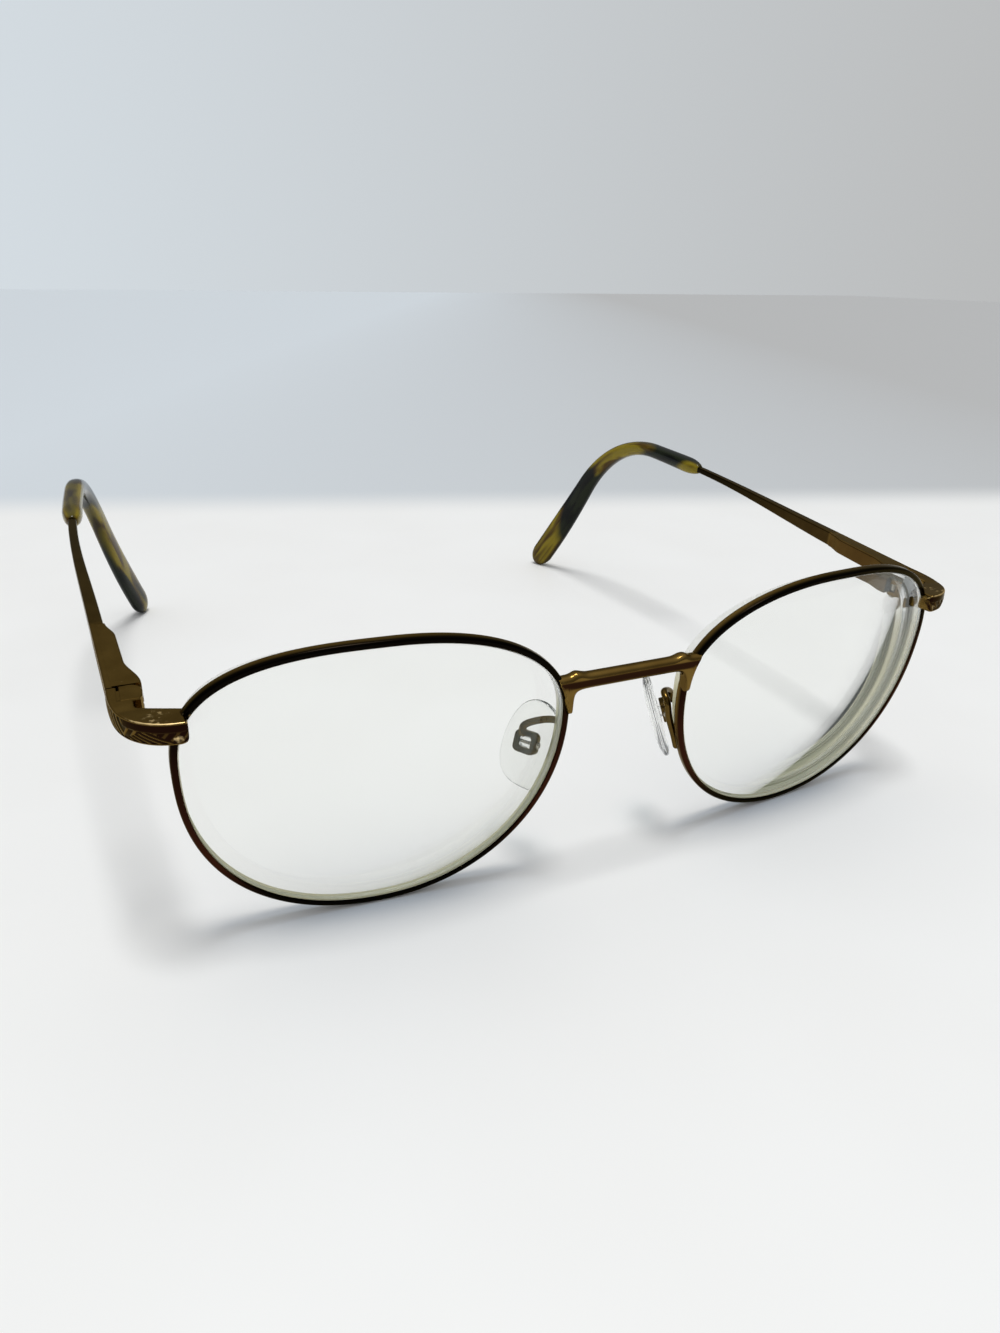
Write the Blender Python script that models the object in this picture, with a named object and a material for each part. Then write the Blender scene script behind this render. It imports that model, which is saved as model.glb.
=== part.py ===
"""Full-rim metal spectacles with spring hinges, standing open on a table.

The frame: +X is the wearer's left, +Y runs back along the temples and +Z is up. The table is at
z = 0, and the origin lies on it, under the middle of the spectacles. Lengths are in metres.
"""

import math
from functools import partial

import bmesh
import bpy
import numpy as np
from mathutils import Vector

MM = 0.001

# Lens openings, seen square to the lens. Each is four quarter superellipses on its widest line.
opening_width = 48.15 * MM
opening_top_rise = 14.5 * MM
opening_bottom_drop = 24.6 * MM
top_temple_power = 2.57
top_nose_power = 2.14
bottom_nose_power = 2.08
bottom_temple_power = 2.29
opening_spacing = 19.4 * MM

# How the front stands: it leans forward at the top and wraps back at the temples.
front_lean = math.radians(7.8)
face_wrap = math.radians(4.55)
lens_front_radius = 100.0 * MM

# Rim wire with a V groove for the lens
rim_wall = 0.85 * MM
rim_depth = 1.6 * MM
rim_round = 0.32 * MM
groove_depth = 0.42 * MM
groove_half_width = 0.48 * MM
rim_split_rise = 12.0 * MM
rim_split_gap = 0.30 * MM

# Lenses: minus lenses, thicker at the edge
lens_centre_thickness = 1.6 * MM
lens_back_radius = 62.0 * MM
lens_inset = 0.25 * MM
lens_play = 0.12 * MM
lens_bevel_height = 0.37 * MM
lens_bevel_half_width = 0.36 * MM
lens_chamfer = 0.30 * MM

# Gaps: a brazed joint keeps a thin film, a running joint keeps its clearance
braze_film = 0.10 * MM
running_clearance = 0.06 * MM
fork_clearance = 0.08 * MM

# Bridge
bridge_height = 1.85 * MM
bridge_depth = 1.75 * MM
bridge_rounding = 0.38
bridge_rise = 10.4 * MM
bridge_proud = 0.35 * MM
bridge_flare = 2.2 * MM
bridge_flare_power = 1.3
bridge_flare_start = 6.9 * MM
bridge_flare_end = 8.8 * MM
bridge_shoulder = 0.55 * MM
bridge_shoulder_place = 8.2 * MM
bridge_shoulder_half_width = 0.8 * MM

# Hinge axis, and the temple that rises from it towards the ear
hinge_outside_rim = 4.4 * MM
hinge_behind_rim = 8.5 * MM
temple_rise = math.radians(3.8)
end_height = 2.85 * MM

# Endpiece: from the rim round the corner to the butt face
endpiece_bar_depth = 3.8 * MM
endpiece_butt = 1.10 * MM
endpiece_strip = 1.25 * MM
butt_gap = 0.20 * MM
edge_round = 0.22 * MM
endpiece_lap = 0.10 * MM
endpiece_proud = 1.70 * MM
corner_power = 2.5
corner_root = 0.45
heel_inside = 1.10 * MM
heel_drop = 1.40 * MM
heel_radius = 0.80 * MM
endpiece_level_from = 5.0 * MM

# Hinge fork, tongue and screw
fork_radius = 1.45 * MM
fork_outer = 1.15 * MM
fork_base_front = 2.30 * MM
fork_corner = 0.10 * MM
fork_waist_front = 1.50 * MM
fork_base_inner = 1.00 * MM
fork_roof = 0.30 * MM
tongue_radius = 1.00 * MM
tongue_thickness = 1.20 * MM
tongue_length = 5.20 * MM
tongue_inner_face = 0.32 * MM
tongue_rod_margin = 0.05 * MM
tongue_neck = 0.95 * MM
tongue_neck_rear = 1.30 * MM
tongue_shoulder = 1.25 * MM
tongue_shoulder_rear = 1.95 * MM
tongue_full_rear = 3.00 * MM
tongue_heel = 0.45 * MM
tongue_heel_rear = 0.85 * MM
hinge_screw_radius = 0.46 * MM
hinge_screw_head_radius = 0.85 * MM
hinge_screw_head_height = 0.45 * MM

# Spring box on the temple
housing_front = 1.60 * MM
housing_rear = 19.90 * MM
housing_cover = 0.95 * MM
housing_bulge = 1.50 * MM
housing_draw_in = 1.55 * MM
housing_draw_start = 2.0 * MM
housing_draw_end = 8.5 * MM
housing_slope = 0.055
housing_tail = 0.80 * MM
housing_tail_start = 16.0 * MM
housing_corner = 0.20 * MM
slot_side_clearance = 0.15 * MM
plug_front = 5.50 * MM
plug_thickness = 0.70 * MM
chamber_rear = 12.60 * MM
chamber_half_height = 0.62 * MM
rod_offset = 1.22 * MM
rod_radius = 0.22 * MM
rod_overlap = 0.60 * MM
spring_coil_radius = 0.42 * MM
spring_wire_radius = 0.09 * MM
spring_turns = 6.0
spring_pitch = 0.64 * MM
spring_end_gap = 0.05 * MM
spring_travel_room = 0.60 * MM
stop_radius = 0.48 * MM
stop_length = 0.70 * MM
stop_chamfer = 0.15 * MM
stop_bore_end = 0.02 * MM

# Temple: outer face runs from the butt joint, splays a little and tapers to a thin wire
outer_face_start = 2.52 * MM
temple_splay = 0.0484
temple_thickness_rear = 1.80 * MM
temple_thickness_tip = 1.35 * MM
temple_height_housing = 2.6 * MM
temple_height_tip = 1.25 * MM
temple_top_rise = 0.0100
temple_taper_start = 19.0 * MM
sleeve_start = 64.3 * MM

# Ear bend and tip
bend_start = 82.9 * MM
bend_radius = 28.7 * MM
bend_angle = math.radians(63.0)
tip_lean_start = 40.0 * MM
tip_lean_length = 59.0 * MM
tip_lean_power = 2.2
tip_lean = 4.6 * MM
tip_width_sleeve = 3.3 * MM
tip_height_sleeve = 3.6 * MM
tip_height_bend = 3.3 * MM
tip_height_end = 6.4 * MM
tip_width_end = 3.0 * MM
tip_cap_length = 4.2 * MM
tip_bore_clearance = 0.15 * MM
core_end_margin = 9.0 * MM
temple_corner = 0.25 * MM
tip_section_power = 2.6
tip_start_round = 1.2 * MM
tip_start_share = 0.75
tip_end_margin = 4.0 * MM

# Rim lock under the endpiece
lock_set_back = 0.2 * MM
lock_width = 2.7 * MM
lock_depth = 1.9 * MM
lock_socket_rise = 0.40 * MM
lock_screw_out = 1.70 * MM
lock_screw_radius = 0.42 * MM
lock_screw_head_radius = 0.70 * MM
lock_screw_head_height = 0.40 * MM
lock_screw_reach = 0.72 * MM

# Every screw's head: its crown, and the driver slot, as shares of the head
screw_crown = 0.3
screw_slot_width = 0.36
screw_slot_depth = 0.5

# Nose pads, and the ring boxes that hold their lugs
pad_half_span = 11.0 * MM
pad_behind_rims = 7.85 * MM
pad_drop = 1.4 * MM
pad_splay = math.radians(27.5)
pad_tilt = math.radians(18.5)
pad_height = 13.3 * MM
pad_width = 8.6 * MM
pad_thickness = 1.7 * MM
pad_outline_power = 2.3
pad_narrowing = 0.14
pad_lug_height = 1.5 * MM
pad_lug_thickness = 1.5 * MM
pad_lug_reach = 1.45 * MM
pad_lug_root = 0.6 * MM
box_raise = 0.45 * MM
box_wall = 0.55 * MM
box_height = 3.0 * MM
box_depth = 1.35 * MM
box_round = 0.25 * MM
box_pad_gap = 0.25 * MM
box_lug_clearance = 0.12 * MM
pad_screw_radius = 0.24 * MM
pad_screw_head_radius = 0.52 * MM
pad_screw_head_height = 0.30 * MM

# Pad arms: brazed behind the rim, up over a crest and down on to the box
pad_arm_wire = 1.0 * MM
pad_arm_inset = 0.55 * MM
pad_arm_toe_drop = 5.6 * MM
pad_arm_foot_drop = 3.2 * MM
pad_arm_rise_drop = 0.2 * MM
pad_arm_rise_off = 0.35 * MM
pad_arm_top_rise = 2.29 * MM
pad_arm_top_inset = 0.99 * MM
pad_arm_top_off = 0.81 * MM
pad_arm_crest_rise = 2.96 * MM
pad_arm_crest_inset = 0.42 * MM
pad_arm_crest_off = 2.55 * MM
pad_arm_above_box = 2.7 * MM
pad_arm_on_box = 0.9 * MM

# Fineness of the round shapes
rim_segments = 60
lens_segments = 48
round_segments = 14
tip_ring_points = 14
spring_steps_per_turn = 8
bridge_steps = 27
endpiece_steps = 15

opening_half_width = opening_width / 2
opening_half_height = (opening_top_rise + opening_bottom_drop) / 2
widest_line = opening_bottom_drop - opening_half_height
opening_centre_x = opening_spacing / 2 + opening_half_width
end_half_height = end_height / 2
lock_height = lock_socket_rise + end_half_height
rim_end_x = -(hinge_outside_rim + rim_wall + endpiece_lap)
rim_end_y = -(hinge_behind_rim + endpiece_proud)
pad_axis_depth = box_pad_gap + box_depth / 2
box_half_width = pad_lug_thickness / 2 + box_lug_clearance + box_wall
spring_front = plug_front + plug_thickness + spring_end_gap
spring_rear = spring_front + spring_turns * spring_pitch + 2 * spring_wire_radius
stop_front = spring_rear + spring_travel_room


def sag(u, v):
    """How far the lens front curves back at (u, v) from the box centre of the opening."""
    return (u * u + v * v) / (2 * lens_front_radius)


def dense_outline():
    """The opening's outline, as many points (u, v) from the temple side, anticlockwise."""
    turn = np.linspace(0.0, 2 * math.pi, 2881)
    across, up = np.cos(turn), np.sin(turn)
    top_power = np.where(across >= 0, top_temple_power, top_nose_power)
    bottom_power = np.where(across >= 0, bottom_temple_power, bottom_nose_power)
    power = np.where(up >= 0, top_power, bottom_power)
    rise = np.where(up >= 0, opening_top_rise, opening_bottom_drop)
    u = opening_half_width * np.sign(across) * np.abs(across) ** (2 / power)
    v = widest_line + rise * np.sign(up) * np.abs(up) ** (2 / power)
    length = np.concatenate([[0.0], np.cumsum(np.hypot(np.diff(u), np.diff(v)))])
    return u, v, length


def outline_at(positions):
    """Points of the outline at these distances along it, and their outward normals."""
    u, v, length = dense_outline()
    step = 0.2 * MM

    def point(where):
        where = np.mod(where, length[-1])
        return np.stack([np.interp(where, length, u), np.interp(where, length, v)], axis=-1)

    run = point(positions + step) - point(positions - step)
    normal = np.stack([run[:, 1], -run[:, 0]], axis=-1)
    return point(positions), normal / np.linalg.norm(normal, axis=1)[:, None]


def lowest_front_height():
    """Height of the rim's lowest point under the box centre, for the lean of the front."""
    u, v, length = dense_outline()
    edge_v = v - rim_wall
    height = edge_v * math.cos(front_lean) + sag(u, v) * math.sin(front_lean)
    return height.min()


front_centre_z = -lowest_front_height()


def leaned(u, v, n):
    """How far outwards, back and up of its box centre a point of one lens lies."""
    out = u * math.cos(face_wrap)
    back = -v * math.sin(front_lean) + n * math.cos(front_lean) + u * math.sin(face_wrap)
    up = v * math.cos(front_lean) + n * math.sin(front_lean)
    return out, back, up


def front_point(side, u, v, n):
    """The place of a point of one lens: u towards the temple, v up, n back from its vertex."""
    out, back, up = leaned(u, v, n)
    x = side * (opening_centre_x + out)
    return np.stack(np.broadcast_arrays(x, front_centre_y + back, front_centre_z + up), axis=-1)


def rim_split():
    """Where the rim is split: the distance along the opening's outline, and u there."""
    u, v, length = dense_outline()
    quarter = slice(0, len(u) // 4)
    along = np.interp(rim_split_rise, v[quarter], length[quarter])
    return along, np.interp(rim_split_rise, v[quarter], u[quarter])


split_along, split_u = rim_split()
split_sag = sag(split_u, rim_split_rise)
corner_out, corner_back, corner_up = leaned(split_u + rim_wall, rim_split_rise, split_sag)
hinge_half_span = opening_centre_x + corner_out + hinge_outside_rim
bar_height = front_centre_z + corner_up - lock_socket_rise
hinge_height = bar_height + endpiece_level_from * math.sin(temple_rise)
hinge_back = corner_back + hinge_behind_rim


def hinge_point(side, x, s, t):
    """The place of a point of one hinge: x outwards, s back along the temple, t up its axis."""
    y = hinge_y + s * math.cos(temple_rise) - t * math.sin(temple_rise)
    z = hinge_height + s * math.sin(temple_rise) + t * math.cos(temple_rise)
    return np.stack(np.broadcast_arrays(side * (hinge_half_span + x), y, z), axis=-1)


def pad_point(side, along, up, out):
    """The place of a point of one nose pad: along it front to back, up it, and towards the nose."""
    outward = -math.cos(pad_splay), math.sin(pad_splay)
    flat = out * math.cos(pad_tilt) + up * math.sin(pad_tilt)
    x = pad_half_span + along * math.sin(pad_splay) + flat * outward[0]
    y = pad_y + along * math.cos(pad_splay) + flat * outward[1]
    z = front_centre_z - pad_drop + up * math.cos(pad_tilt) - out * math.sin(pad_tilt)
    return np.stack(np.broadcast_arrays(side * x, y, z), axis=-1)


def smooth_step(value, low, high):
    """0 below low, 1 above high, and a smooth rise between."""
    share = np.clip((value - low) / (high - low), 0.0, 1.0)
    return share * share * (3 - 2 * share)


def temple_height(c):
    """Height of the metal temple at the distance c from the hinge axis."""
    share = smooth_step(c, temple_taper_start, sleeve_start)
    boxed = end_height + (temple_height_housing - end_height) * c / temple_taper_start
    return np.where(
        c < temple_taper_start,
        boxed,
        temple_height_housing + (temple_height_tip - temple_height_housing) * share ** 0.7,
    )


def outer_face(c):
    """Offset of the temple's outer face from the hinge axis."""
    return outer_face_start + temple_splay * c


def tip_lean_in(c):
    """How far the tip leans towards the head at the distance c."""
    share = np.clip((c - tip_lean_start) / tip_lean_length, 0.0, None)
    return tip_lean * share**tip_lean_power


tip_line_height = end_half_height + temple_top_rise * sleeve_start - temple_height_tip / 2
bend_end = bend_start + bend_radius * bend_angle
leg_slope = bend_angle - temple_rise
cap_drop = math.hypot(
    tip_cap_length * math.sin(leg_slope), tip_height_end / 2 * math.cos(leg_slope)
)
cap_reach = math.hypot(
    tip_cap_length * math.cos(leg_slope), tip_height_end / 2 * math.sin(leg_slope)
)


def path_point(c):
    """Place (s, t) of the temple's line at the distance c, and its downward heading there."""
    heading = np.clip((c - bend_start) / bend_radius, 0.0, bend_angle)
    leg = np.clip(c - bend_end, 0.0, None)
    straight = np.minimum(c, bend_start)
    s = straight + bend_radius * np.sin(heading) + leg * np.cos(bend_angle)
    t = tip_line_height - bend_radius * (1 - np.cos(heading)) - leg * np.sin(bend_angle)
    return s, t, heading


def leg_length():
    """Length of the straight leg after the bend that lets the tip's end touch the table."""
    s, t, heading = path_point(np.array([bend_end]))
    height = hinge_height + s[0] * math.sin(temple_rise) + t[0] * math.cos(temple_rise)
    return (height - cap_drop) / math.sin(leg_slope)


path_end = bend_end + leg_length()


def depth_behind_front():
    """How far back of the lens vertex the front of the rims and the end of the tips lie."""
    u, v, length = dense_outline()
    edge_y = sag(u, v) * math.cos(front_lean) - (v + rim_wall) * math.sin(front_lean)
    foremost = (edge_y + u * math.sin(face_wrap)).min()
    s, t, heading = path_point(np.array([path_end]))
    along = s[0] * math.cos(temple_rise) - t[0] * math.sin(temple_rise)
    return foremost, hinge_back + along + cap_reach


front_centre_y = -sum(depth_behind_front()) / 2
hinge_y = front_centre_y + hinge_back
pad_y = front_centre_y + pad_behind_rims


def metal(name, colour, roughness):
    """A metal material."""
    return surface(name, colour, roughness, 1.0)


def surface(name, colour, roughness, metallic=0.0, see_through=0.0):
    """A Principled material of one colour."""
    material = bpy.data.materials.new(name)
    material.use_nodes = True
    shader = material.node_tree.nodes["Principled BSDF"]
    shader.inputs["Base Color"].default_value = (*colour, 1.0)
    shader.inputs["Roughness"].default_value = roughness
    shader.inputs["Metallic"].default_value = metallic
    shader.inputs["Transmission Weight"].default_value = see_through
    material.diffuse_color = (*colour, 1.0)
    return material


def add_object(name, verts, faces, material, origin=(0.0, 0.0, 0.0)):
    """A mesh object with its origin at the given place and its faces pointing out."""
    mesh = bpy.data.meshes.new(name)
    work = bmesh.new()
    made = [work.verts.new(np.asarray(vert) - np.asarray(origin)) for vert in verts]
    for face in faces:
        work.faces.new([made[index] for index in face])
    bmesh.ops.recalc_face_normals(work, faces=work.faces)
    work.to_mesh(mesh)
    work.free()
    thing = bpy.data.objects.new(name, mesh)
    thing.location = origin
    if material is None:
        thing.hide_render = True
        thing.display_type = "WIRE"
    else:
        mesh.materials.append(material)
        mesh.shade_smooth()
        mesh.set_sharp_from_angle(angle=math.radians(35))
    bpy.context.collection.objects.link(thing)
    return thing


def loft(name, rings, material, origin=(0.0, 0.0, 0.0), caps=True, loop=False):
    """A skin over rings of points; its ends are closed by flat caps, or it closes on itself."""
    rings = np.asarray(rings)
    count, size = rings.shape[:2]
    faces = []
    for ring in range(count if loop else count - 1):
        after = (ring + 1) % count
        for k in range(size):
            k2 = (k + 1) % size
            faces.append((ring * size + k, ring * size + k2, after * size + k2, after * size + k))
    if caps and not loop:
        faces.append(tuple(range(size)))
        faces.append(tuple((count - 1) * size + k for k in range(size)))
    return add_object(name, rings.reshape(-1, 3), faces, material, origin)


def domed(name, rings, start, end, material, origin=(0.0, 0.0, 0.0)):
    """A skin over rings whose two ends are closed by fans to one point each."""
    rings = np.asarray(rings)
    count, size = rings.shape[:2]
    faces = []
    for ring in range(count - 1):
        for k in range(size):
            k2 = (k + 1) % size
            low, high = ring * size, (ring + 1) * size
            faces.append((low + k, low + k2, high + k2, high + k))
    first, last = count * size, count * size + 1
    for k in range(size):
        k2 = (k + 1) % size
        faces.append((k2, k, first))
        faces.append(((count - 1) * size + k, (count - 1) * size + k2, last))
    verts = np.vstack([rings.reshape(-1, 3), start, end])
    return add_object(name, verts, faces, material, origin)


def turned(name, profile, centre, axis, material, origin=None, segments=round_segments):
    """A solid of revolution: profile holds (distance along the axis, radius) pairs."""
    centre, axis = np.asarray(centre, float), np.asarray(axis, float)
    axis = axis / np.linalg.norm(axis)
    side = np.cross(axis, (0.0, 0.0, 1.0) if abs(axis[2]) < 0.9 else (1.0, 0.0, 0.0))
    side = side / np.linalg.norm(side)
    other = np.cross(axis, side)
    turn = np.linspace(0.0, 2 * math.pi, segments, endpoint=False)
    circle = np.cos(turn)[:, None] * side + np.sin(turn)[:, None] * other
    rings = [centre + along * axis + radius * circle for along, radius in profile]
    place = centre if origin is None else origin
    return loft(name, rings, material, place)


def modify(thing, cutter, operation):
    """Cuts a shape out of a piece, or joins one to it."""
    modifier = thing.modifiers.new(cutter.name, "BOOLEAN")
    modifier.operation = operation
    modifier.solver = "EXACT"
    modifier.object = cutter
    return thing


def cut(thing, *cutters):
    """Takes each cutter's shape out of a piece."""
    for cutter in cutters:
        modify(thing, cutter, "DIFFERENCE")
    return thing


def soften(thing, width, segments=2):
    """Rounds the sharp edges of a piece."""
    modifier = thing.modifiers.new("soft_edges", "BEVEL")
    modifier.width = width
    modifier.segments = segments
    modifier.limit_method = "ANGLE"
    modifier.angle_limit = math.radians(40)
    modifier.use_clamp_overlap = True
    return thing


def rounded_box_ring(half_width, half_height, corner, steps=3):
    """Points (across, up) of a rectangle with round corners, anticlockwise."""
    points = []
    turns = np.linspace(0.0, math.pi / 2, steps)
    for quarter, (sx, sy) in enumerate(((1, 1), (-1, 1), (-1, -1), (1, -1))):
        centre = np.array([sx * (half_width - corner), sy * (half_height - corner)])
        for turn in turns + quarter * math.pi / 2:
            points.append(centre + corner * np.array([math.cos(turn), math.sin(turn)]))
    return np.array(points)


def smooth_route(points, steps):
    """A Catmull-Rom curve through the points, with this many steps between neighbours."""
    points = np.asarray(points, float)
    padded = np.vstack([2 * points[0] - points[1], points, 2 * points[-1] - points[-2]])
    route = []
    for a, b, c, d in zip(padded, padded[1:], padded[2:], padded[3:]):
        for share in np.linspace(0.0, 1.0, steps, endpoint=False):
            route.append(
                0.5
                * (
                    2 * b
                    + (c - a) * share
                    + (2 * a - 5 * b + 4 * c - d) * share**2
                    + (3 * b - a - 3 * c + d) * share**3
                )
            )
    route.append(points[-1])
    return np.array(route)


def wire_along(name, route, radius, material, sides=10, origin=(0.0, 0.0, 0.0)):
    """A round wire along a route, its rings carried along it without twist."""
    run = np.gradient(route, axis=0)
    run = run / np.linalg.norm(run, axis=1)[:, None]
    side = np.cross(run[0], (0.3, 0.2, 1.0))
    rings = []
    turn = np.linspace(0.0, 2 * math.pi, sides, endpoint=False)
    for place, ahead in zip(route, run):
        side = side - ahead * np.dot(side, ahead)
        side = side / np.linalg.norm(side)
        other = np.cross(ahead, side)
        circle = np.cos(turn)[:, None] * side + np.sin(turn)[:, None] * other
        rings.append(place + radius * circle)
    return loft(name, rings, material, origin)


def prism(name, outline, place, low, high, material, origin=(0.0, 0.0, 0.0)):
    """A flat outline carried from low to high; place turns (x, s, t) into a point."""
    outline = np.asarray(outline)
    rings = [place(outline[:, 0], outline[:, 1], level) for level in (low, high)]
    return loft(name, rings, material, origin)


def arc(centre_x, centre_y, radius, start, stop, steps):
    """Points of an arc, with its angles in degrees."""
    turn = np.radians(np.linspace(start, stop, steps))
    return [(centre_x + radius * math.cos(a), centre_y + radius * math.sin(a)) for a in turn]


def block(name, place, low, high, material=None, origin=(0.0, 0.0, 0.0)):
    """A box between two corners of a local frame."""
    outline = [(low[0], low[1]), (high[0], low[1]), (high[0], high[1]), (low[0], high[1])]
    return prism(name, outline, place, low[2], high[2], material, origin)


def bore(name, radius, low, high, centre, axis, segments=round_segments):
    """A round hole's cutter, from low to high along its axis."""
    profile = [(low, radius), (high, radius)]
    return turned(name, profile, centre, axis, None, segments=segments)


def make_rim(side, name, material):
    """The grooved rim wire, open by a small gap at the rim lock."""
    u, v, length = dense_outline()
    start = split_along + rim_split_gap / 2
    stop = split_along + length[-1] - rim_split_gap / 2
    lips, normals = outline_at(np.linspace(start, stop, rim_segments))
    middle = rim_depth / 2
    profile = [
        (0.0, 0.0),
        (rim_wall - rim_round, 0.0),
        (rim_wall, rim_round),
        (rim_wall, rim_depth - rim_round),
        (rim_wall - rim_round, rim_depth),
        (0.0, rim_depth),
        (0.0, middle + groove_half_width),
        (groove_depth, middle),
        (0.0, middle - groove_half_width),
    ]
    back = sag(lips[:, 0], lips[:, 1])
    edges = []
    for out, depth in profile:
        place = lips + out * normals
        edges.append(front_point(side, place[:, 0], place[:, 1], back + depth))
    return loft(name, np.stack(edges, axis=1), material)


def make_rim_envelope(side, name):
    """Everything inside the rim's outer face, from just before its front lip backwards."""
    u, v, length = dense_outline()
    lips, normals = outline_at(np.linspace(0.0, length[-1], rim_segments, endpoint=False))
    place = lips + (rim_wall + braze_film) * normals
    back = sag(lips[:, 0], lips[:, 1])
    front = front_point(side, place[:, 0], place[:, 1], back - braze_film)
    rear = front_point(side, place[:, 0], place[:, 1], back + 4 * rim_depth)
    front_middle = front_point(side, 0.0, 0.0, -braze_film)
    rear_middle = front_point(side, 0.0, 0.0, 4 * rim_depth)
    return domed(name, [front, rear], front_middle, rear_middle, None)


def make_lens(side, name, material):
    """A minus lens: a gently curved front, a deeper back and a V bevel that fits the groove."""
    u, v, length = dense_outline()
    positions = np.linspace(0.0, length[-1], lens_segments, endpoint=False)
    lips, normals = outline_at(positions)
    edge = lips - lens_play * normals
    peak = edge + lens_bevel_height * normals
    lip_back = sag(lips[:, 0], lips[:, 1])
    bevel = lip_back + rim_depth / 2

    def front_of(place):
        return lens_inset + sag(place[:, 0], place[:, 1])

    def back_of(place):
        square = place[:, 0] ** 2 + place[:, 1] ** 2
        return lens_inset + lens_centre_thickness + square / (2 * lens_back_radius)

    inner = edge - lens_chamfer * normals
    layers = [(edge * share, front_of(edge * share)) for share in (0.4, 0.75)]
    layers += [
        (edge, front_of(edge)),
        (edge, bevel - lens_bevel_half_width),
        (peak, bevel),
        (edge, bevel + lens_bevel_half_width),
        (edge, back_of(edge) - lens_chamfer),
        (inner, back_of(inner)),
    ]
    layers += [(edge * share, back_of(edge * share)) for share in (0.75, 0.4)]
    rings = [front_point(side, place[:, 0], place[:, 1], n) for place, n in layers]
    start = front_point(side, 0.0, 0.0, lens_inset)
    end = front_point(side, 0.0, 0.0, lens_inset + lens_centre_thickness)
    return domed(name, rings, start, end, material)


def nose_edge(rise):
    """The opening's edge at the nose, this far above the middle of the lens."""
    u, v, length = dense_outline()
    quarter = len(u) // 4
    nose = slice(quarter, 3 * quarter)
    height = leaned(u, v, sag(u, v))[2][nose]
    order = np.argsort(height)
    lip_u = np.interp(rise, height[order], u[nose][order])
    lip_v = np.interp(rise, height[order], v[nose][order])
    return lip_u, lip_v


def make_bridge(material, envelopes):
    """The bar between the rims: straight, with raised shoulders, flaring down on to them."""
    lip_u, lip_v = nose_edge(bridge_rise)
    lip = front_point(1, lip_u, lip_v, sag(lip_u, lip_v))
    reach = lip[0]
    front_y = lip[1] - bridge_proud
    rings = []
    centre = front_centre_z + bridge_rise
    flare_length = bridge_flare_end - bridge_flare_start
    corner = bridge_rounding * bridge_depth
    for x in reach * np.sin(np.linspace(-math.pi / 2, math.pi / 2, bridge_steps)):
        past = np.clip((abs(x) - bridge_flare_start) / flare_length, 0.0, 1.0)
        shoulder = math.exp(-(((abs(x) - bridge_shoulder_place) / bridge_shoulder_half_width) ** 2))
        top = centre + bridge_height / 2 + bridge_shoulder * shoulder
        bottom = centre - bridge_height / 2 - bridge_flare * past**bridge_flare_power
        ring = rounded_box_ring(bridge_depth / 2, (top - bottom) / 2, corner, 3)
        y = front_y + bridge_depth / 2 + ring[:, 0]
        z = (top + bottom) / 2 + ring[:, 1]
        rings.append(np.stack([np.full(len(ring), x), y, z], axis=-1))
    bridge = loft("bridge", rings, material)
    return cut(bridge, *envelopes)


def endpiece_outline():
    """The endpiece seen from above, from the butt face round the corner to the rim.

    Its outer line bends like a superellipse; its inner line steps in behind the hinge fork.
    """
    butt_outer = outer_face(endpiece_butt)
    step_y = -fork_base_front - braze_film
    along = 1 - (1 - np.linspace(0.0, 1.0, endpiece_steps)) ** 2
    inwards = 1 - (1 - along**corner_power) ** corner_root
    outer_x = butt_outer + (rim_end_x - butt_outer) * inwards
    outer_y = endpiece_butt + (rim_end_y - endpiece_butt) * along
    heel_y = step_y - heel_drop
    inner = [
        (rim_end_x, rim_end_y + endpiece_bar_depth),
        *arc(-heel_inside, heel_y, heel_radius, -90, 0, 4),
        (heel_radius - heel_inside, step_y),
        (butt_outer - endpiece_strip, step_y),
        (butt_outer - endpiece_strip, endpiece_butt),
    ]
    return np.vstack([np.stack([outer_x, outer_y], axis=-1), inner])


def level_ahead(piece, side):
    """Creases the corner piece where its bar turns level, and lifts what lies ahead of that."""
    crease = Vector(hinge_point(side, 0.0, -endpiece_level_from, 0.0))
    back = (Vector(hinge_point(side, 0.0, 0.0, 0.0)) - crease).normalized()
    work = bmesh.new()
    work.from_mesh(piece.data)
    whole = work.verts[:] + work.edges[:] + work.faces[:]
    bmesh.ops.bisect_plane(work, geom=whole, plane_co=crease, plane_no=back)
    for vert in work.verts:
        ahead = (crease - vert.co).dot(back)
        vert.co.z += max(ahead, 0.0) * math.tan(temple_rise)
    work.to_mesh(piece.data)
    work.free()


def lock_frame(side):
    """The closing block's own frame: x out from the rim, s back, t up along its screw."""
    corner = front_point(side, split_u + rim_wall + braze_film, rim_split_rise, split_sag)

    def place(x, s, t):
        back = lock_set_back + s
        y = corner[1] + back * math.cos(front_lean) - t * math.sin(front_lean)
        z = corner[2] + back * math.sin(front_lean) + t * math.cos(front_lean)
        return np.stack(np.broadcast_arrays(corner[0] + side * x, y, z), axis=-1)

    return place


def make_endpiece(side, name, material, envelope):
    """The corner piece between rim and temple, with a socket for the rim lock and its screw."""
    place = partial(hinge_point, side)
    piece = prism(name, endpiece_outline(), place, -end_half_height, end_half_height, material)
    level_ahead(piece, side)
    soften(piece, edge_round)
    lock = lock_frame(side)
    gap = braze_film
    socket = block(
        name + "_lock_socket",
        lock,
        (-lock_width, -gap, -3 * lock_height),
        (lock_width + gap, lock_depth + gap, gap),
    )
    centre = lock(lock_screw_out, lock_depth / 2, 0.0)
    up = lock(lock_screw_out, lock_depth / 2, 1.0) - centre
    hole_radius = lock_screw_radius + running_clearance
    hole_top = lock_screw_reach + gap
    hole = bore(name + "_lock_screw_hole", hole_radius, -lock_height, hole_top, centre, up)
    return cut(piece, envelope, socket, hole)


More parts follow.
